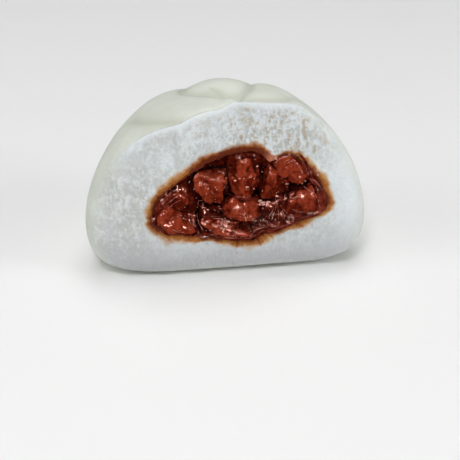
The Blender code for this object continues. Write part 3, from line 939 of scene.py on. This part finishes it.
def die_surface(die, number, columns, rows):
    """A chunk of pork: rays from its middle, each as long as a soft minimum of the distances to its
    flat sides, (sum of (n.side / d)^p)^(-1/p), then roughened by lumps and by fibres."""
    middle, normals, distances = die
    ways = directions(np.linspace(0, math.pi, rows + 2)[1:-1, None], circle(columns))
    warp = [layered_noise(ways, 0.7, 900 + number * 7 + k, 2) for k in range(3)]
    bent = ways + 0.32 * np.stack(warp, -1)
    bent = bent / np.linalg.norm(bent, axis=-1, keepdims=True)
    facing = np.maximum(bent @ normals.T, 0) / (distances + DIE_GROWTH)
    reach = (facing**DIE_SQUARENESS).sum(axis=-1) ** (-1 / DIE_SQUARENESS)
    places = middle + ways * reach[..., None]
    along = np.array(FIBRE_WAYS[number]) / np.linalg.norm(FIBRE_WAYS[number])
    along = (places @ along)[..., None] * along
    fibres = soft_noise(places - 0.88 * along, 0.7 * MM, 300 + number)
    fibres = fibres + 0.6 * soft_noise(places - 0.85 * along, 0.4 * MM, 330 + number)
    lumps = layered_noise(places, 3.4 * MM, 400 + number, 2)
    knobs = pebbles(places, 1.9 * MM, 500 + number)
    height = LUMP_HEIGHT * lumps + FIBRE_HEIGHT * FIBRE_HEIGHTS[number] * fibres
    height = height + KNOB_HEIGHT * (0.55 - knobs)
    height = height + SMALL_LUMP_HEIGHT * layered_noise(places, 0.9 * MM, 430 + number, 2)
    # Painted light where lumps, knobs and fibres stand out and painted shade in their dips.
    tone = DIE_TONES[number] - 0.03 + 0.36 * lumps + 0.08 * fibres + 0.3 * (0.5 - knobs)
    # A painted slope of light and shade across the die.
    tone = tone + (places - middle) @ np.array(DIE_PAINTED_SHADING[number]) / (5 * MM)
    return places + ways * (height * MM)[..., None], tone


def outward(grid):
    """Normals of a closed grid, away from its middle."""
    normals = slopes(grid)
    away = (normals * (grid - grid.mean(axis=(0, 1)))).sum() > 0
    return normals if away else -normals


def sideways(grid):
    """How far each point's normal turns away from the front, squared: 0 facing out of the opening
    and a little upwards, 1 at right angles to that."""
    return (1 - np.clip(outward(grid) @ np.array([0.0, -0.94, 0.34]), 0, 1)) ** 2


def upturned(grid):
    """How squarely each point faces up, eased from 0 to 1."""
    return smooth_step(0.35, 0.95, outward(grid) @ np.array([0.0, -0.35, 0.94]))


def wetness(grid, shade):
    """How much glaze shows: 1 on what faces up and out, a fifth as much in hollows, and 0 on
    undersides."""
    facing = smooth_step(-0.2, 0.7, outward(grid) @ np.array([0.0, -0.6, 0.8]))
    return facing * (1 - 0.8 * smooth_step(0.5, 2.2, shade))


def make_pork(sizes, material):
    """Each die of pork in its own node's place."""
    for number, (name, grid, tone, shade) in enumerate(zip(PORK_NODES, *filling(sizes)[:3])):
        # Painted shade in recesses and on sides turned away, and painted sheen on what faces up.
        tone = tone - PAINTED_SHADOW * shade
        tone = tone - PAINTED_SIDE_SHADE * sideways(grid) + PAINTED_TOP_SHEEN * upturned(grid)
        add_piece(
            name.replace("pork", "pork_die"),
            [grid],
            material,
            "glazed_pork",
            covers=(name,),
            tone=[tone],
            wet=[DIE_WETNESS[number] * wetness(grid, shade)],
        )


# The sauce.

# How far it lies behind the torn face at the dough, how much further inside and higher up, and at
# the least, in millimetres.
EDGE_DEPTH, INNER_DEEPER, UPPER_DEEPER, LEAST_DEPTH = 0.9, 2.6, 0.9, 0.6
DRAWN_UP, DRAWN_UP_REACH = 2.6, 1.0 * MM  # how it climbs each die
# Deep gaps in it between the dice, and places where it stands high; the gaps also get painted
# shade and the high places painted light.
GAPS = (
    (-13.2, 26.0, 1.6, 7.5, 5.0),
    (-5.0, 29.8, 6.0, 1.5, 4.5),
    (21.5, 32.6, 5.5, 1.7, 4.5),
    (8.0, 31.0, 3.4, 2.2, 4.0),
    (8.5, 26.0, 3.2, 3.0, 2.2),
    (-9.5, 40.6, 5.0, 1.2, 1.6),
    (-19.5, 22.5, 8.0, 4.5, 2.5),
)
POOLS = (
    (-3.0, 15.6, 13.0, 2.2, 2.4),
    (15.0, 18.6, 8.0, 2.0, 2.0),
    (-24.5, 19.0, 4.5, 2.5, 1.5),
    (31.0, 27.0, 2.5, 6.0, 1.8),
    (-24.0, 30.0, 3.5, 4.0, 1.5),
)


def sauce_level(x, z, to_edge, dice):
    """How far the sauce lies behind the torn face: close to it at the dough, sinking inwards, with
    lumps, and drawn up round every die as exp(-distance / reach)."""
    flat = np.stack([x, 0 * x, z], -1)
    upper, inner = smooth_step(0.026, 0.038, z), smooth_step(0, 1.5 * MM, to_edge)
    sunk = EDGE_DEPTH + INNER_DEEPER * smooth_step(0.3 * MM, 6 * MM, to_edge)
    sunk = sunk + UPPER_DEEPER * upper
    sunk = sunk + 0.9 * layered_noise(flat, 5 * MM, 615, 2) * inner
    sunk = sunk + rounds(x, z, GAPS) - rounds(x, z, POOLS)
    lumps = 0.8 * (0.55 - pebbles(flat, 2.6 * MM, 601)) + 0.3 * (0.55 - sauce_knobs(flat))
    lumps = lumps + 0.35 * soft_noise(flat, 1.8 * MM, 611)
    level = np.maximum(sunk - lumps * inner, LEAST_DEPTH)
    places = from_axis(behind_face(x, z, level * MM))
    near = np.min([outside_die(places, die) for die in dice], axis=0) - DIE_GROWTH
    drawn_up = DRAWN_UP * np.exp(-np.maximum(near, 0) / DRAWN_UP_REACH)
    drawn_up = drawn_up * (1 - 0.8 * np.clip(rounds(x, z, GAPS) / 3, 0, 1)) * (1 - 0.5 * upper)
    return (level - drawn_up) * MM


def sauce_knobs(places):
    """Distances to the middles of the sauce's small lumps, across the face."""
    return pebbles(places * (1, 0, 1), 1.25 * MM, 606)


def sauce_grid(dice, columns, rows):
    """The sauce as rings out from the middle of the opening, over its edge and back to a pole
    behind, with its tone: random patches, painted light on its knobs and where it stands high,
    and painted shade in its deep gaps and towards the top, under the lip."""
    around = circle(columns)
    edge = opening_reach(around) + 0.3 * MM
    reach = edge * np.linspace(0.01, 1, rows)[:, None]
    x, z = across_face(reach, around)
    level = sauce_level(x, z, edge - reach, dice)
    turn = np.linspace(0, math.pi / 2, 12)[1:-1, None]
    back = across_face(edge * np.cos(turn) ** HOLLOW_POWER, around)
    back = behind_face(*back, level[-1] + (POCKET_DEPTH - 2 * MM) * np.sin(turn))
    places = np.concatenate([behind_face(x, z, level), back])
    x, z = places[..., 0], places[..., 2]
    # Painted light on the knobs and where the sauce stands high, painted shade in its gaps and
    # towards the top.
    tone = 0.3 * layered_noise(places, 3 * MM, 621, 3) + 0.35 * (0.45 - sauce_knobs(places))
    tone = tone + 0.16 * np.clip(rounds(x, z, POOLS) - rounds(x, z, GAPS), -1.5, 1.5)
    return from_axis(places), tone - 0.12 - 0.06 * smooth_step(0.030, 0.040, z)


def make_sauce(sizes, material):
    """The sauce, and the films of it that lie over the dice."""
    grids, tones, shades, front = filling(sizes)
    grid, tone, shade = grids[-1], tones[-1], shades[-1]
    add_piece(
        "sauce",
        [grid],
        material,
        "char_siu_sauce",
        covers=("filling_sauce",),
        # Painted shade where the sauce lies behind the blurred front of the filling.
        tone=[tone - 0.15 * shade],
        wet=[wetness(grid, shade)],
    )
    films = [sweep(line, wide, thick, front, n) for n, (wide, thick, line) in enumerate(FILMS)]
    tones = [0.05 + 0.3 * layered_noise(film, 2 * MM, 651, 2) for film in films]
    wets = [0 * tone + 0.3 for tone in tones]
    add_piece("sauce_films", films, material, "char_siu_sauce", tone=tones, wet=wets)


# The whole front of the filling, and the small things on it.

CELL = 0.3 * MM
MAP_START, MAP_SHAPE = (-0.0405, 0.0), (270, 200)
BLUR = 2.0 * MM
EMPTY_DEPTH, EMPTY_DEPTH_BLURRED = 0.4 * MM, 1.2 * MM  # behind the face, of empty cells
MOST_IN_FRONT, MOST_BEHIND = -1.2, 3.5  # limits of the shading, in millimetres
BIG_FLECK, FLECK_DEPTH = 0.3 * MM, 0.9 * MM
STREWN_SEED, TURNED_SEED = 5, 8

# Smooth films of sauce: half width, half thickness and line across the face, in millimetres.
FILMS = (
    (0.9, 0.50, ((27.2, 35.2), (29.9, 33.0), (31.7, 29.6), (32.3, 26.2), (31.4, 23.8))),
    (0.8, 0.50, ((20.6, 44.8), (22.9, 42.4), (25.0, 39.4), (26.4, 36.4))),
    (0.6, 0.45, ((23.6, 44.4), (25.6, 41.8), (27.2, 38.8), (27.9, 36.4))),
    (0.9, 0.40, ((-9.5, 18.0), (-4.5, 17.2), (2.0, 16.2), (7.3, 16.6), (12.6, 18.4), (19.0, 20.8))),
    (0.9, 0.45, ((20.0, 25.2), (22.4, 24.1), (25.0, 23.7))),
    (0.7, 0.45, ((-14.6, 25.0), (-14.3, 22.0), (-13.2, 18.4))),
    (0.8, 0.50, ((-26.0, 29.6), (-24.0, 32.4), (-21.2, 35.0))),
    (0.7, 0.45, ((-27.2, 23.0), (-25.2, 20.6), (-22.0, 18.8))),
    (0.7, 0.45, ((19.0, 29.4), (19.3, 26.6), (20.4, 24.4))),
    (0.6, 0.40, ((-1.6, 32.0), (3.4, 31.2), (8.0, 28.8))),
)
# Thin strands of meat, and pale painted highlight strokes along the edges of the dice and the
# films: radius and line.
STRANDS = (
    (0.15, ((-11.2, 31.2), (-11.9, 28.6), (-12.0, 26.5))),
    (0.12, ((-10.2, 30.1), (-10.7, 28.2), (-11.0, 26.8))),
    (0.11, ((-12.6, 28.6), (-11.2, 27.6), (-9.4, 27.0))),
    (0.20, ((-8.2, 24.3), (-4.6, 23.5), (-1.0, 22.0))),
    (0.13, ((-12.0, 24.6), (-12.2, 21.8), (-10.9, 18.9))),
    (0.16, ((-1.8, 31.8), (0.8, 31.9), (3.4, 31.2), (5.8, 30.4))),
    (0.20, ((-0.4, 27.2), (0.8, 28.3), (2.0, 28.5))),
    (0.18, ((1.9, 28.4), (2.6, 27.0), (3.2, 25.6))),
    (0.13, ((-20.9, 26.4), (-19.5, 26.1), (-18.2, 25.2))),
    (0.13, ((-17.3, 25.0), (-16.2, 23.6), (-15.0, 21.6))),
    (0.11, ((-22.6, 22.0), (-21.0, 21.0), (-19.2, 20.0))),
    (0.10, ((-20.8, 21.2), (-19.4, 20.8), (-18.4, 19.8))),
    (0.13, ((-24.1, 30.6), (-21.7, 32.4), (-19.0, 34.1))),
    (0.12, ((-22.5, 29.4), (-20.9, 31.0), (-19.0, 32.0))),
    (0.16, ((19.8, 29.2), (22.0, 30.4), (23.7, 29.6))),
    (0.16, ((24.7, 32.9), (27.8, 31.3), (29.1, 28.8))),
    (0.18, ((27.7, 34.4), (30.0, 32.4), (31.6, 29.2), (32.2, 26.0))),
    (0.14, ((22.2, 44.4), (24.2, 42.0), (26.0, 39.2), (27.0, 36.6))),
    (0.10, ((19.4, 44.2), (21.8, 42.0), (23.8, 39.0), (25.0, 36.6))),
    (0.15, ((-4.5, 17.5), (2.0, 16.3), (7.3, 16.9), (12.6, 18.7), (19.0, 21.0))),
    (0.11, ((0.5, 17.6), (6.0, 18.1), (11.0, 19.8))),
    (0.14, ((14.6, 29.8), (14.5, 27.6), (14.2, 25.4))),
    (0.12, ((14.0, 25.0), (13.4, 23.6), (13.0, 21.8))),
    (0.11, ((15.0, 28.6), (15.3, 25.0), (15.3, 21.8))),
    (0.13, ((16.2, 27.0), (17.4, 25.2), (18.8, 23.6))),
    (0.10, ((13.6, 26.4), (12.6, 24.2), (11.6, 22.4))),
    (0.10, ((16.8, 25.2), (17.3, 23.8), (17.4, 22.2))),
    (0.11, ((9.8, 21.0), (10.6, 22.2), (11.4, 23.6))),
    (0.10, ((13.0, 24.6), (15.2, 23.8), (17.0, 24.8))),
    (0.30, ((14.8, 42.2), (16.4, 43.9), (19.0, 44.6), (21.0, 44.2))),
    (0.20, ((18.6, 41.9), (20.2, 42.8), (21.6, 41.6))),
    (0.14, ((17.0, 41.6), (18.0, 43.0), (19.6, 43.4))),
    (0.26, ((-5.8, 40.8), (-4.4, 40.8), (-3.6, 39.8))),
    (0.13, ((-12.0, 37.0), (-11.8, 37.9), (-11.2, 38.8))),
    (0.17, ((-3.9, 36.8), (-3.5, 35.8), (-3.3, 34.6))),
)
# Pale flecks, partly fat and partly painted glints where the filling shines: place and radius.
FLECKS = (
    (-25.0, 32.0, 0.60), (-25.5, 31.2, 0.40), (-26.5, 29.9, 0.34), (-28.0, 25.3, 0.45),
    (-29.0, 25.3, 0.50), (-28.7, 24.4, 0.40), (-22.4, 35.6, 0.26), (-20.2, 33.0, 0.22),
    (-24.7, 37.8, 0.36), (-25.3, 37.3, 0.24), (30.2, 36.6, 0.36), (31.6, 24.4, 0.26),
    (27.4, 21.4, 0.24), (20.4, 21.0, 0.30), (8.4, 15.6, 0.36), (3.8, 35.7, 0.34),
    (-4.2, 40.7, 0.26), (-3.3, 34.9, 0.24), (1.4, 38.8, 0.24), (9.8, 32.9, 0.22),
    (13.9, 39.0, 0.28), (12.1, 40.0, 0.26), (18.5, 34.2, 0.24), (25.9, 34.2, 0.30),
    (17.5, 44.2, 0.44), (19.9, 44.6, 0.40), (15.4, 43.4, 0.34), (9.2, 29.0, 0.40),
    (9.9, 28.2, 0.52), (10.4, 27.4, 0.36), (9.0, 27.6, 0.34), (14.8, 30.4, 0.40), (5.6, 30.6, 0.26),
    (-13.9, 34.9, 0.22), (-12.4, 26.8, 0.20),
)  # fmt: skip


def front_map(grids):
    """The frontmost place of the filling in each small cell across the face, with empty cells
    just behind the face, and the same blurred as exp(-(distance / (blur sqrt 2))^2)."""
    places = np.concatenate([grid.reshape(-1, 3) for grid in grids])
    cells = tuple(((places[:, 2 * k] - MAP_START[k]) / CELL).astype(int) for k in range(2))
    front = np.full(MAP_SHAPE, 1.0)
    np.minimum.at(front, cells, places[:, 1])
    x, z = (MAP_START[k] + (np.arange(MAP_SHAPE[k]) + 0.5) * CELL for k in range(2))
    x, z = np.meshgrid(x, z, indexing="ij")
    face, covered = -face_place(x, z) + BUN_AXIS_Y, front < 1
    weights = np.exp(-((np.arange(-20, 21) * CELL / BLUR) ** 2) / 2)
    weights = weights / weights.sum()
    blurred = np.where(covered, front, face + EMPTY_DEPTH_BLURRED)
    for axis in range(2):
        blurred = np.apply_along_axis(np.convolve, axis, blurred, weights, mode="same")
    return np.where(covered, front, face + EMPTY_DEPTH), blurred


def on_map(cells, x, z):
    """A map's value at places across the face, blended between the four nearest cells."""
    across = np.clip((x - MAP_START[0]) / CELL - 0.5, 0, MAP_SHAPE[0] - 1.001)
    up = np.clip((z - MAP_START[1]) / CELL - 0.5, 0, MAP_SHAPE[1] - 1.001)
    i, k = across.astype(int), up.astype(int)
    u, v = across - i, up - k
    low = cells[i, k] * (1 - u) + cells[i + 1, k] * u
    high = cells[i, k + 1] * (1 - u) + cells[i + 1, k + 1] * u
    return low * (1 - v) + high * v


def filling(sizes):
    """The filling as finely made as the settings ask."""
    return made_filling(sizes.die_columns, sizes.die_rows, sizes.sauce_columns, sizes.sauce_rows)


@functools.cache
def made_filling(die_columns, die_rows, sauce_columns, sauce_rows):
    """The grids of the dice and lastly of the sauce, their tones, how far each point lies behind
    the blurred front in millimetres, within limits, and a map of the front."""
    dice = [die_planes(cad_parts[name]) for name in PORK_NODES]
    made = [die_surface(die, number, die_columns, die_rows) for number, die in enumerate(dice)]
    grids, tones = zip(*made, sauce_grid(dice, sauce_columns, sauce_rows))
    front, blurred = front_map(grids)
    behind = [grid[..., 1] - on_map(blurred, grid[..., 0], grid[..., 2]) for grid in grids]
    shades = [np.clip(far / MM, MOST_IN_FRONT, MOST_BEHIND) for far in behind]
    return grids, tones, shades, front


def sweep(line, wide, thick, front, seed):
    """A tapering tube laid on the filling along a line across it. Its middle is the frontmost of
    the five places round it, averaged over five; its rings are ellipses times
    (1 - (2t - 1)^6)^(1/2), their breadth uneven by noise."""
    x, z = (smooth_line(line, 10) * MM).T
    y = on_map(front, x, z)
    for blend in (np.min, np.mean):
        y = blend([np.pad(y, 2, mode="edge")[k : k + len(x)] for k in range(5)], axis=0)
    middle = np.stack([x, y + 0.25 * thick * MM, z], -1)
    along = np.gradient(middle, axis=0)
    along = along / np.linalg.norm(along, axis=1, keepdims=True)
    side = np.cross(along, (0.0, -1.0, 0.0))
    side = side / np.linalg.norm(side, axis=1, keepdims=True)
    out = np.cross(side, along)
    taper = np.sqrt(np.clip(1 - np.linspace(-1, 1, len(x)) ** 6, 0.03, 1))
    taper = taper * (1 + 0.25 * soft_noise(middle, 1.5 * MM, 661 + seed))
    turn = circle(12)[:, None]
    rings = side[:, None] * np.cos(turn) * wide + out[:, None] * np.sin(turn) * thick
    return middle[:, None] + rings * (taper * MM)[:, None, None]


def flecks(places, radii):
    """Small bits: ellipsoids flattened along y and turned at random about it."""
    chance = np.random.default_rng(TURNED_SEED)
    turn = chance.uniform(0, math.pi, len(places))[:, None, None]
    long = chance.uniform(1.0, 2.4, len(places))[:, None, None]
    ball = directions(np.linspace(0, math.pi, 7)[1:-1, None], circle(8))
    short, long, flat = ball[..., 0], ball[..., 1] * long, ball[..., 2]
    x = long * np.cos(turn) - short * np.sin(turn)
    z = long * np.sin(turn) + short * np.cos(turn)
    shapes = np.stack([x, 0.6 * flat + 0 * x, z], -1) * radii[:, None, None, None]
    return list(places[:, None, None] + shapes)


def make_bits(sizes, material):
    """Thin strands of meat, some of them painted highlight strokes, and flecks of fat, some of
    them painted glints, on the filling's front: those listed, and more strewn at random inside
    the opening."""
    front = filling(sizes)[-1]
    strands = [sweep(line, 0.7 * r, 0.6 * r, front, n) for n, (r, line) in enumerate(STRANDS)]
    tones = [0.5 * layered_noise(strand, 1.2 * MM, 671, 2) for strand in strands]
    wets = [0 * tone + 0.6 for tone in tones]
    add_piece("strands", strands, material, "glazed_pork", tone=tones, wet=wets)

    chance = np.random.default_rng(STREWN_SEED)
    turn, share = (chance.uniform(0, most, sizes.flecks) for most in (2 * math.pi, 0.9))
    strewn = across_face(opening_reach(turn) * np.sqrt(share), turn)
    placed_x, placed_z, placed_radii = np.array(FLECKS).T * MM
    x, z = np.append(strewn[0], placed_x), np.append(strewn[1], placed_z)
    radii = np.append(np.exp(chance.normal(-2.0, 0.35, sizes.flecks)) * MM, placed_radii)
    y, face = on_map(front, x, z) + 0.1 * MM, -face_place(x, z) + BUN_AXIS_Y
    y = np.where(radii > BIG_FLECK, np.minimum(y, face + FLECK_DEPTH), y)
    off_x, off_z = x - HEART[0], z - HEART[2]
    past_edge = np.hypot(off_x, off_z) - opening_reach(np.arctan2(off_z, off_x))
    y = np.where(past_edge > 0, face + FLECK_DEPTH * smooth_step(1.5 * MM, 0, past_edge), y)
    bits = flecks(np.stack([x, y, z], -1), radii)
    tones = [0.3 + 0.4 * soft_noise(bit, MM, 681) for bit in bits]
    wets = [0 * tone + 0.8 for tone in tones]
    add_piece("fat_flecks", bits, material, "glazed_pork", tone=tones, wet=wets)


# The stage.

TARGET = Vector((0.0, BUN_AXIS_Y, 0.03))
# Broad lights, each with its own setting of power: place and size.
BROAD_LIGHTS = {
    "key": ((-0.45, -0.95, 1.20), 0.36),
    "top": ((0.10, 0.25, 1.60), 1.20),
    "fill": ((1.20, -1.00, 0.60), 0.70),
    "side": ((-1.30, -0.25, 0.70), 0.80),
}
# Small lights that only gloss shows: place and share of their power.
GLINT_LIGHTS = (
    ((-0.20, -0.75, 0.75), 0.35),
    ((-0.65, -0.55, 0.80), 0.6),
    ((0.40, -0.80, 0.60), 0.4),
    ((0.20, -0.10, 1.10), 0.12),
    ((-0.25, -0.40, 1.05), 0.3),
)
GLINT_SIZE = 0.10
FLOOR_REACH = 3.0
CAMERA_AZIMUTH, CAMERA_ELEVATION = math.radians(-15), math.radians(25)
SENSOR_WIDTH = 36.0


def add_to_scene(name, data, place=(0, 0, 0), target=None):
    """An object at a place, aimed at a target if it has one."""
    thing = bpy.data.objects.new(name, data)
    thing.location = place
    if target:
        thing.rotation_euler = (target - thing.location).to_track_quat("-Z", "Y").to_euler()
    bpy.context.scene.collection.objects.link(thing)
    return thing


def add_light(name, place, energy, size):
    """A square area light aimed at the bun."""
    light = bpy.data.lights.new(name, "AREA")
    light.energy, light.size = energy, size
    return add_to_scene(name, light, place, TARGET)


def make_stage(look):
    """A pale floor, soft studio light and the camera."""
    mesh = bpy.data.meshes.new("floor")
    ways = ((-1, -1), (1, -1), (1, 1), (-1, 1))
    mesh.from_pydata([(x * FLOOR_REACH, y * FLOOR_REACH, 0) for x, y in ways], [], [(0, 1, 2, 3)])
    floor = add_to_scene("floor", mesh)
    material = bpy.data.materials.new("pale_floor")
    material.use_nodes = True
    shader = material.node_tree.nodes["Principled BSDF"]
    feed(material.node_tree, shader, {"Base Color": look.floor, "Roughness": 0.6})
    mesh.materials.append(material)
    floor.visible_glossy = False

    world = bpy.data.worlds.new("studio")
    world.use_nodes = True
    sky = world.node_tree.nodes["Background"]
    feed(world.node_tree, sky, {"Color": (1, 1, 1), "Strength": look.sky})
    bpy.context.scene.world = world
    world.cycles_visibility.glossy = False
    for name, (place, size) in BROAD_LIGHTS.items():
        add_light(name, place, getattr(look, name), size).visible_glossy = False
    for number, (place, share) in enumerate(GLINT_LIGHTS):
        light = add_light(f"glint_{number}", place, look.glint * share, GLINT_SIZE)
        light.visible_diffuse = False

    flat = Vector((math.sin(CAMERA_AZIMUTH), -math.cos(CAMERA_AZIMUTH), 0))
    back = flat * math.cos(CAMERA_ELEVATION) + Vector((0, 0, math.sin(CAMERA_ELEVATION)))
    right = Vector((math.cos(CAMERA_AZIMUTH), math.sin(CAMERA_AZIMUTH), 0))
    middle = Vector((0, BUN_AXIS_Y, WAIST_HEIGHT)) + right * look.shift_right
    middle = middle - back.cross(right) * look.shift_down
    camera = bpy.data.cameras.new("camera")
    camera.sensor_width = SENSOR_WIDTH
    camera.lens = SENSOR_WIDTH * look.distance / look.view_width
    camera.clip_start = 0.01
    thing = add_to_scene("camera", camera, middle + back * look.distance, middle)
    bpy.context.scene.camera = thing
    bpy.context.scene.view_settings.view_transform = "Standard"


# Settings that a user would change.


def colour(name, description, default):
    """A colour setting."""
    return FloatVectorProperty(
        name=name, description=description, subtype="COLOR", default=default, min=0, max=1
    )


def count(name, description, default):
    """A whole-number setting."""
    return IntProperty(name=name, description=description, default=default)


def quantity(name, description, default, unit="NONE"):
    """A setting with a unit."""
    return FloatProperty(name=name, description=description, default=default, unit=unit)


class BunSizes(PropertyGroup):
    """Sizes and fineness of the pieces."""

    crease_depth: quantity("Crease depth", "Depth of the top's folds, as a share", 1.0)
    bread_columns: count("Bread columns", "Points round each ring of the bread", 720)
    wall_rows: count("Wall rows", "Rings on the wall of the hollow", 9)
    crumb_rows: count("Crumb rows", "Rings on the torn crumb", 72)
    skin_rows: count("Skin rows", "Rings on the skin", 50)
    die_columns: count("Die columns", "Points round each die of pork", 160)
    die_rows: count("Die rows", "Rings on each die of pork", 100)
    sauce_columns: count("Sauce columns", "Points round each ring of the sauce", 420)
    sauce_rows: count("Sauce rows", "Rings on the front of the sauce", 96)
    flecks: count("Flecks", "Flecks of fat strewn over the filling", 170)


class BunLook(PropertyGroup):
    """Colours of the bread, pork and sauce."""

    skin: colour("Skin", "Smooth skin of the bread", (0.71, 0.74, 0.665))
    skin_shade: colour("Skin shade", "Duller patches of the skin", (0.64, 0.665, 0.59))
    # Painted shade in the bottoms of the top's creases.
    skin_crease_shade: colour("Skin, creased", "Bottoms of its creases", (0.46, 0.48, 0.39))
    crumb: colour("Crumb", "Torn crumb", (0.68, 0.73, 0.735))
    # Duller patches of the crumb, also used for painted shade between its tufts.
    crumb_shade: colour("Crumb shade", "Duller patches of the crumb", (0.55, 0.57, 0.55))
    # Pale flecks of the crumb, also used for painted light on its tufts, along its rim and towards
    # the right of the face.
    crumb_pale_and_highlight: colour("Crumb, light", "Lightest tufts of the crumb", (0.86, 0.91, 0.935))
    # Painted shade on the crumb towards its base.
    crumb_base_shade: colour("Crumb, base", "Crumb near the base", (0.50, 0.52, 0.53))
    # Beige pits, also painted faintly into the hollows of the grain as shade.
    pit: colour("Pits", "Hollows in the crumb", (0.49, 0.41, 0.31))
    stain_edge: colour("Stain edge", "Where soaked sauce fades out", (0.57, 0.32, 0.12))
    stain: colour("Stain", "Crumb soaked with sauce", (0.37, 0.12, 0.026))
    stain_deep: colour("Deep stain", "Soaked crumb beside the sauce", (0.145, 0.024, 0.006))
    stain_pink: colour("Pink stain", "Soaked lip over the filling", (0.62, 0.215, 0.115))
    pork_dark: colour("Pork, dark", "Darkest tone of the pork", (0.040, 0.003, 0.0012))
    pork: colour("Pork", "Main tone of the pork", (0.125, 0.011, 0.0025))
    pork_bright: colour("Pork, bright", "Brightest tone of the pork", (0.275, 0.037, 0.014))
    sauce_dark: colour("Sauce, dark", "Darkest tone of the sauce", (0.012, 0.001, 0.0006))
    sauce: colour("Sauce", "Main tone of the sauce", (0.100, 0.0085, 0.003))
    sauce_bright: colour("Sauce, bright", "Brightest tone of the sauce", (0.21, 0.036, 0.022))
    # Pale fat, also the colour of painted glints and highlight strokes.
    fat_and_glint: colour("Fat", "Flecks of fat in the glaze", (0.74, 0.42, 0.34))
    strand: colour("Strands", "Thin strands of meat in the glaze", (0.38, 0.11, 0.08))


class BunStage(PropertyGroup):
    """Floor, light and camera."""

    floor: colour("Floor", "Colour of the floor", (0.93, 0.93, 0.93))
    sky: quantity("Sky", "Strength of the light from all round", 0.10)
    key: quantity("Key", "Power of the main light", 8.3, "POWER")
    top: quantity("Top", "Power of the broad light above", 12.0, "POWER")
    fill: quantity("Fill", "Power of the light from the right", 8.9, "POWER")
    side: quantity("Side", "Power of the light from the left", 4.7, "POWER")
    glint: quantity("Glint", "Power of each small light", 34.0, "POWER")
    distance: quantity("Distance", "From the camera to the bun", 0.55, "LENGTH")
    view_width: quantity("View width", "Width seen at that distance", 0.164286, "LENGTH")
    shift_right: quantity("Aim right", "Right of the bun's waist", 0.001429, "LENGTH")
    shift_down: quantity("Aim down", "Below the bun's waist", 0.005536, "LENGTH")


class BUN_OT_bread(Operator):
    """Make the bread"""

    bl_idname = "bun.bread"
    bl_label = "Bread"

    def execute(self, context):
        scene = context.scene
        make_bread(scene.bun_sizes, bread_material(scene.bun_look))
        return {"FINISHED"}


class BUN_OT_pork(Operator):
    """Make the dice of pork"""

    bl_idname = "bun.pork"
    bl_label = "Pork"

    def execute(self, context):
        look = context.scene.bun_look
        colours = (look.pork_dark, look.pork, look.pork_bright)
        streaked = (1.0, 1.0, 0.35)
        material = glazed_material("glazed_pork", colours, streaked, gloss=0.38, smooth=0.11)
        make_pork(context.scene.bun_sizes, material)
        return {"FINISHED"}


class BUN_OT_sauce(Operator):
    """Make the sauce"""

    bl_idname = "bun.sauce"
    bl_label = "Sauce"

    def execute(self, context):
        look = context.scene.bun_look
        colours = (look.sauce_dark, look.sauce, look.sauce_bright)
        material = glazed_material("thick_sauce", colours, EVEN, gloss=0.15, smooth=0.09)
        make_sauce(context.scene.bun_sizes, material)
        return {"FINISHED"}


class BUN_OT_bits(Operator):
    """Make the strands and flecks on the filling"""

    bl_idname = "bun.bits"
    bl_label = "Strands and flecks"

    def execute(self, context):
        look = context.scene.bun_look
        colours = (look.pork_bright, look.strand, look.fat_and_glint)
        material = glazed_material("strands_and_fat", colours, EVEN, gloss=0.5, smooth=0.10)
        make_bits(context.scene.bun_sizes, material)
        return {"FINISHED"}


class BUN_OT_stage(Operator):
    """Make the floor, the lights and the camera"""

    bl_idname = "bun.stage"
    bl_label = "Stage"

    def execute(self, context):
        make_stage(context.scene.bun_stage)
        return {"FINISHED"}


class BUN_PT_panel(Panel):
    """Settings and steps"""

    bl_idname = "BUN_PT_panel"
    bl_label = "Bun"
    bl_space_type = "VIEW_3D"
    bl_region_type = "UI"
    bl_category = "Bun"

    def draw(self, context):
        for group in (context.scene.bun_sizes, context.scene.bun_look, context.scene.bun_stage):
            for name in group.__annotations__:
                self.layout.prop(group, name)
        for step in STEPS:
            self.layout.operator(step.bl_idname)


GROUPS = (BunSizes, BunLook, BunStage)
STEPS = (BUN_OT_bread, BUN_OT_sauce, BUN_OT_pork, BUN_OT_bits, BUN_OT_stage)


def register():
    """Adds the classes and their settings."""
    for thing in (*GROUPS, *STEPS, BUN_PT_panel):
        bpy.utils.register_class(thing)
    bpy.types.Scene.bun_sizes = PointerProperty(type=BunSizes)
    bpy.types.Scene.bun_look = PointerProperty(type=BunLook)
    bpy.types.Scene.bun_stage = PointerProperty(type=BunStage)


def unregister():
    """Removes them again."""
    del bpy.types.Scene.bun_sizes, bpy.types.Scene.bun_look, bpy.types.Scene.bun_stage
    for thing in reversed((*GROUPS, *STEPS, BUN_PT_panel)):
        bpy.utils.unregister_class(thing)


def main():
    """Makes every piece and the stage."""
    register()
    bpy.ops.bun.bread()
    bpy.ops.bun.sauce()
    bpy.ops.bun.pork()
    bpy.ops.bun.bits()
    bpy.ops.bun.stage()


if __name__ == "__main__":
    main()
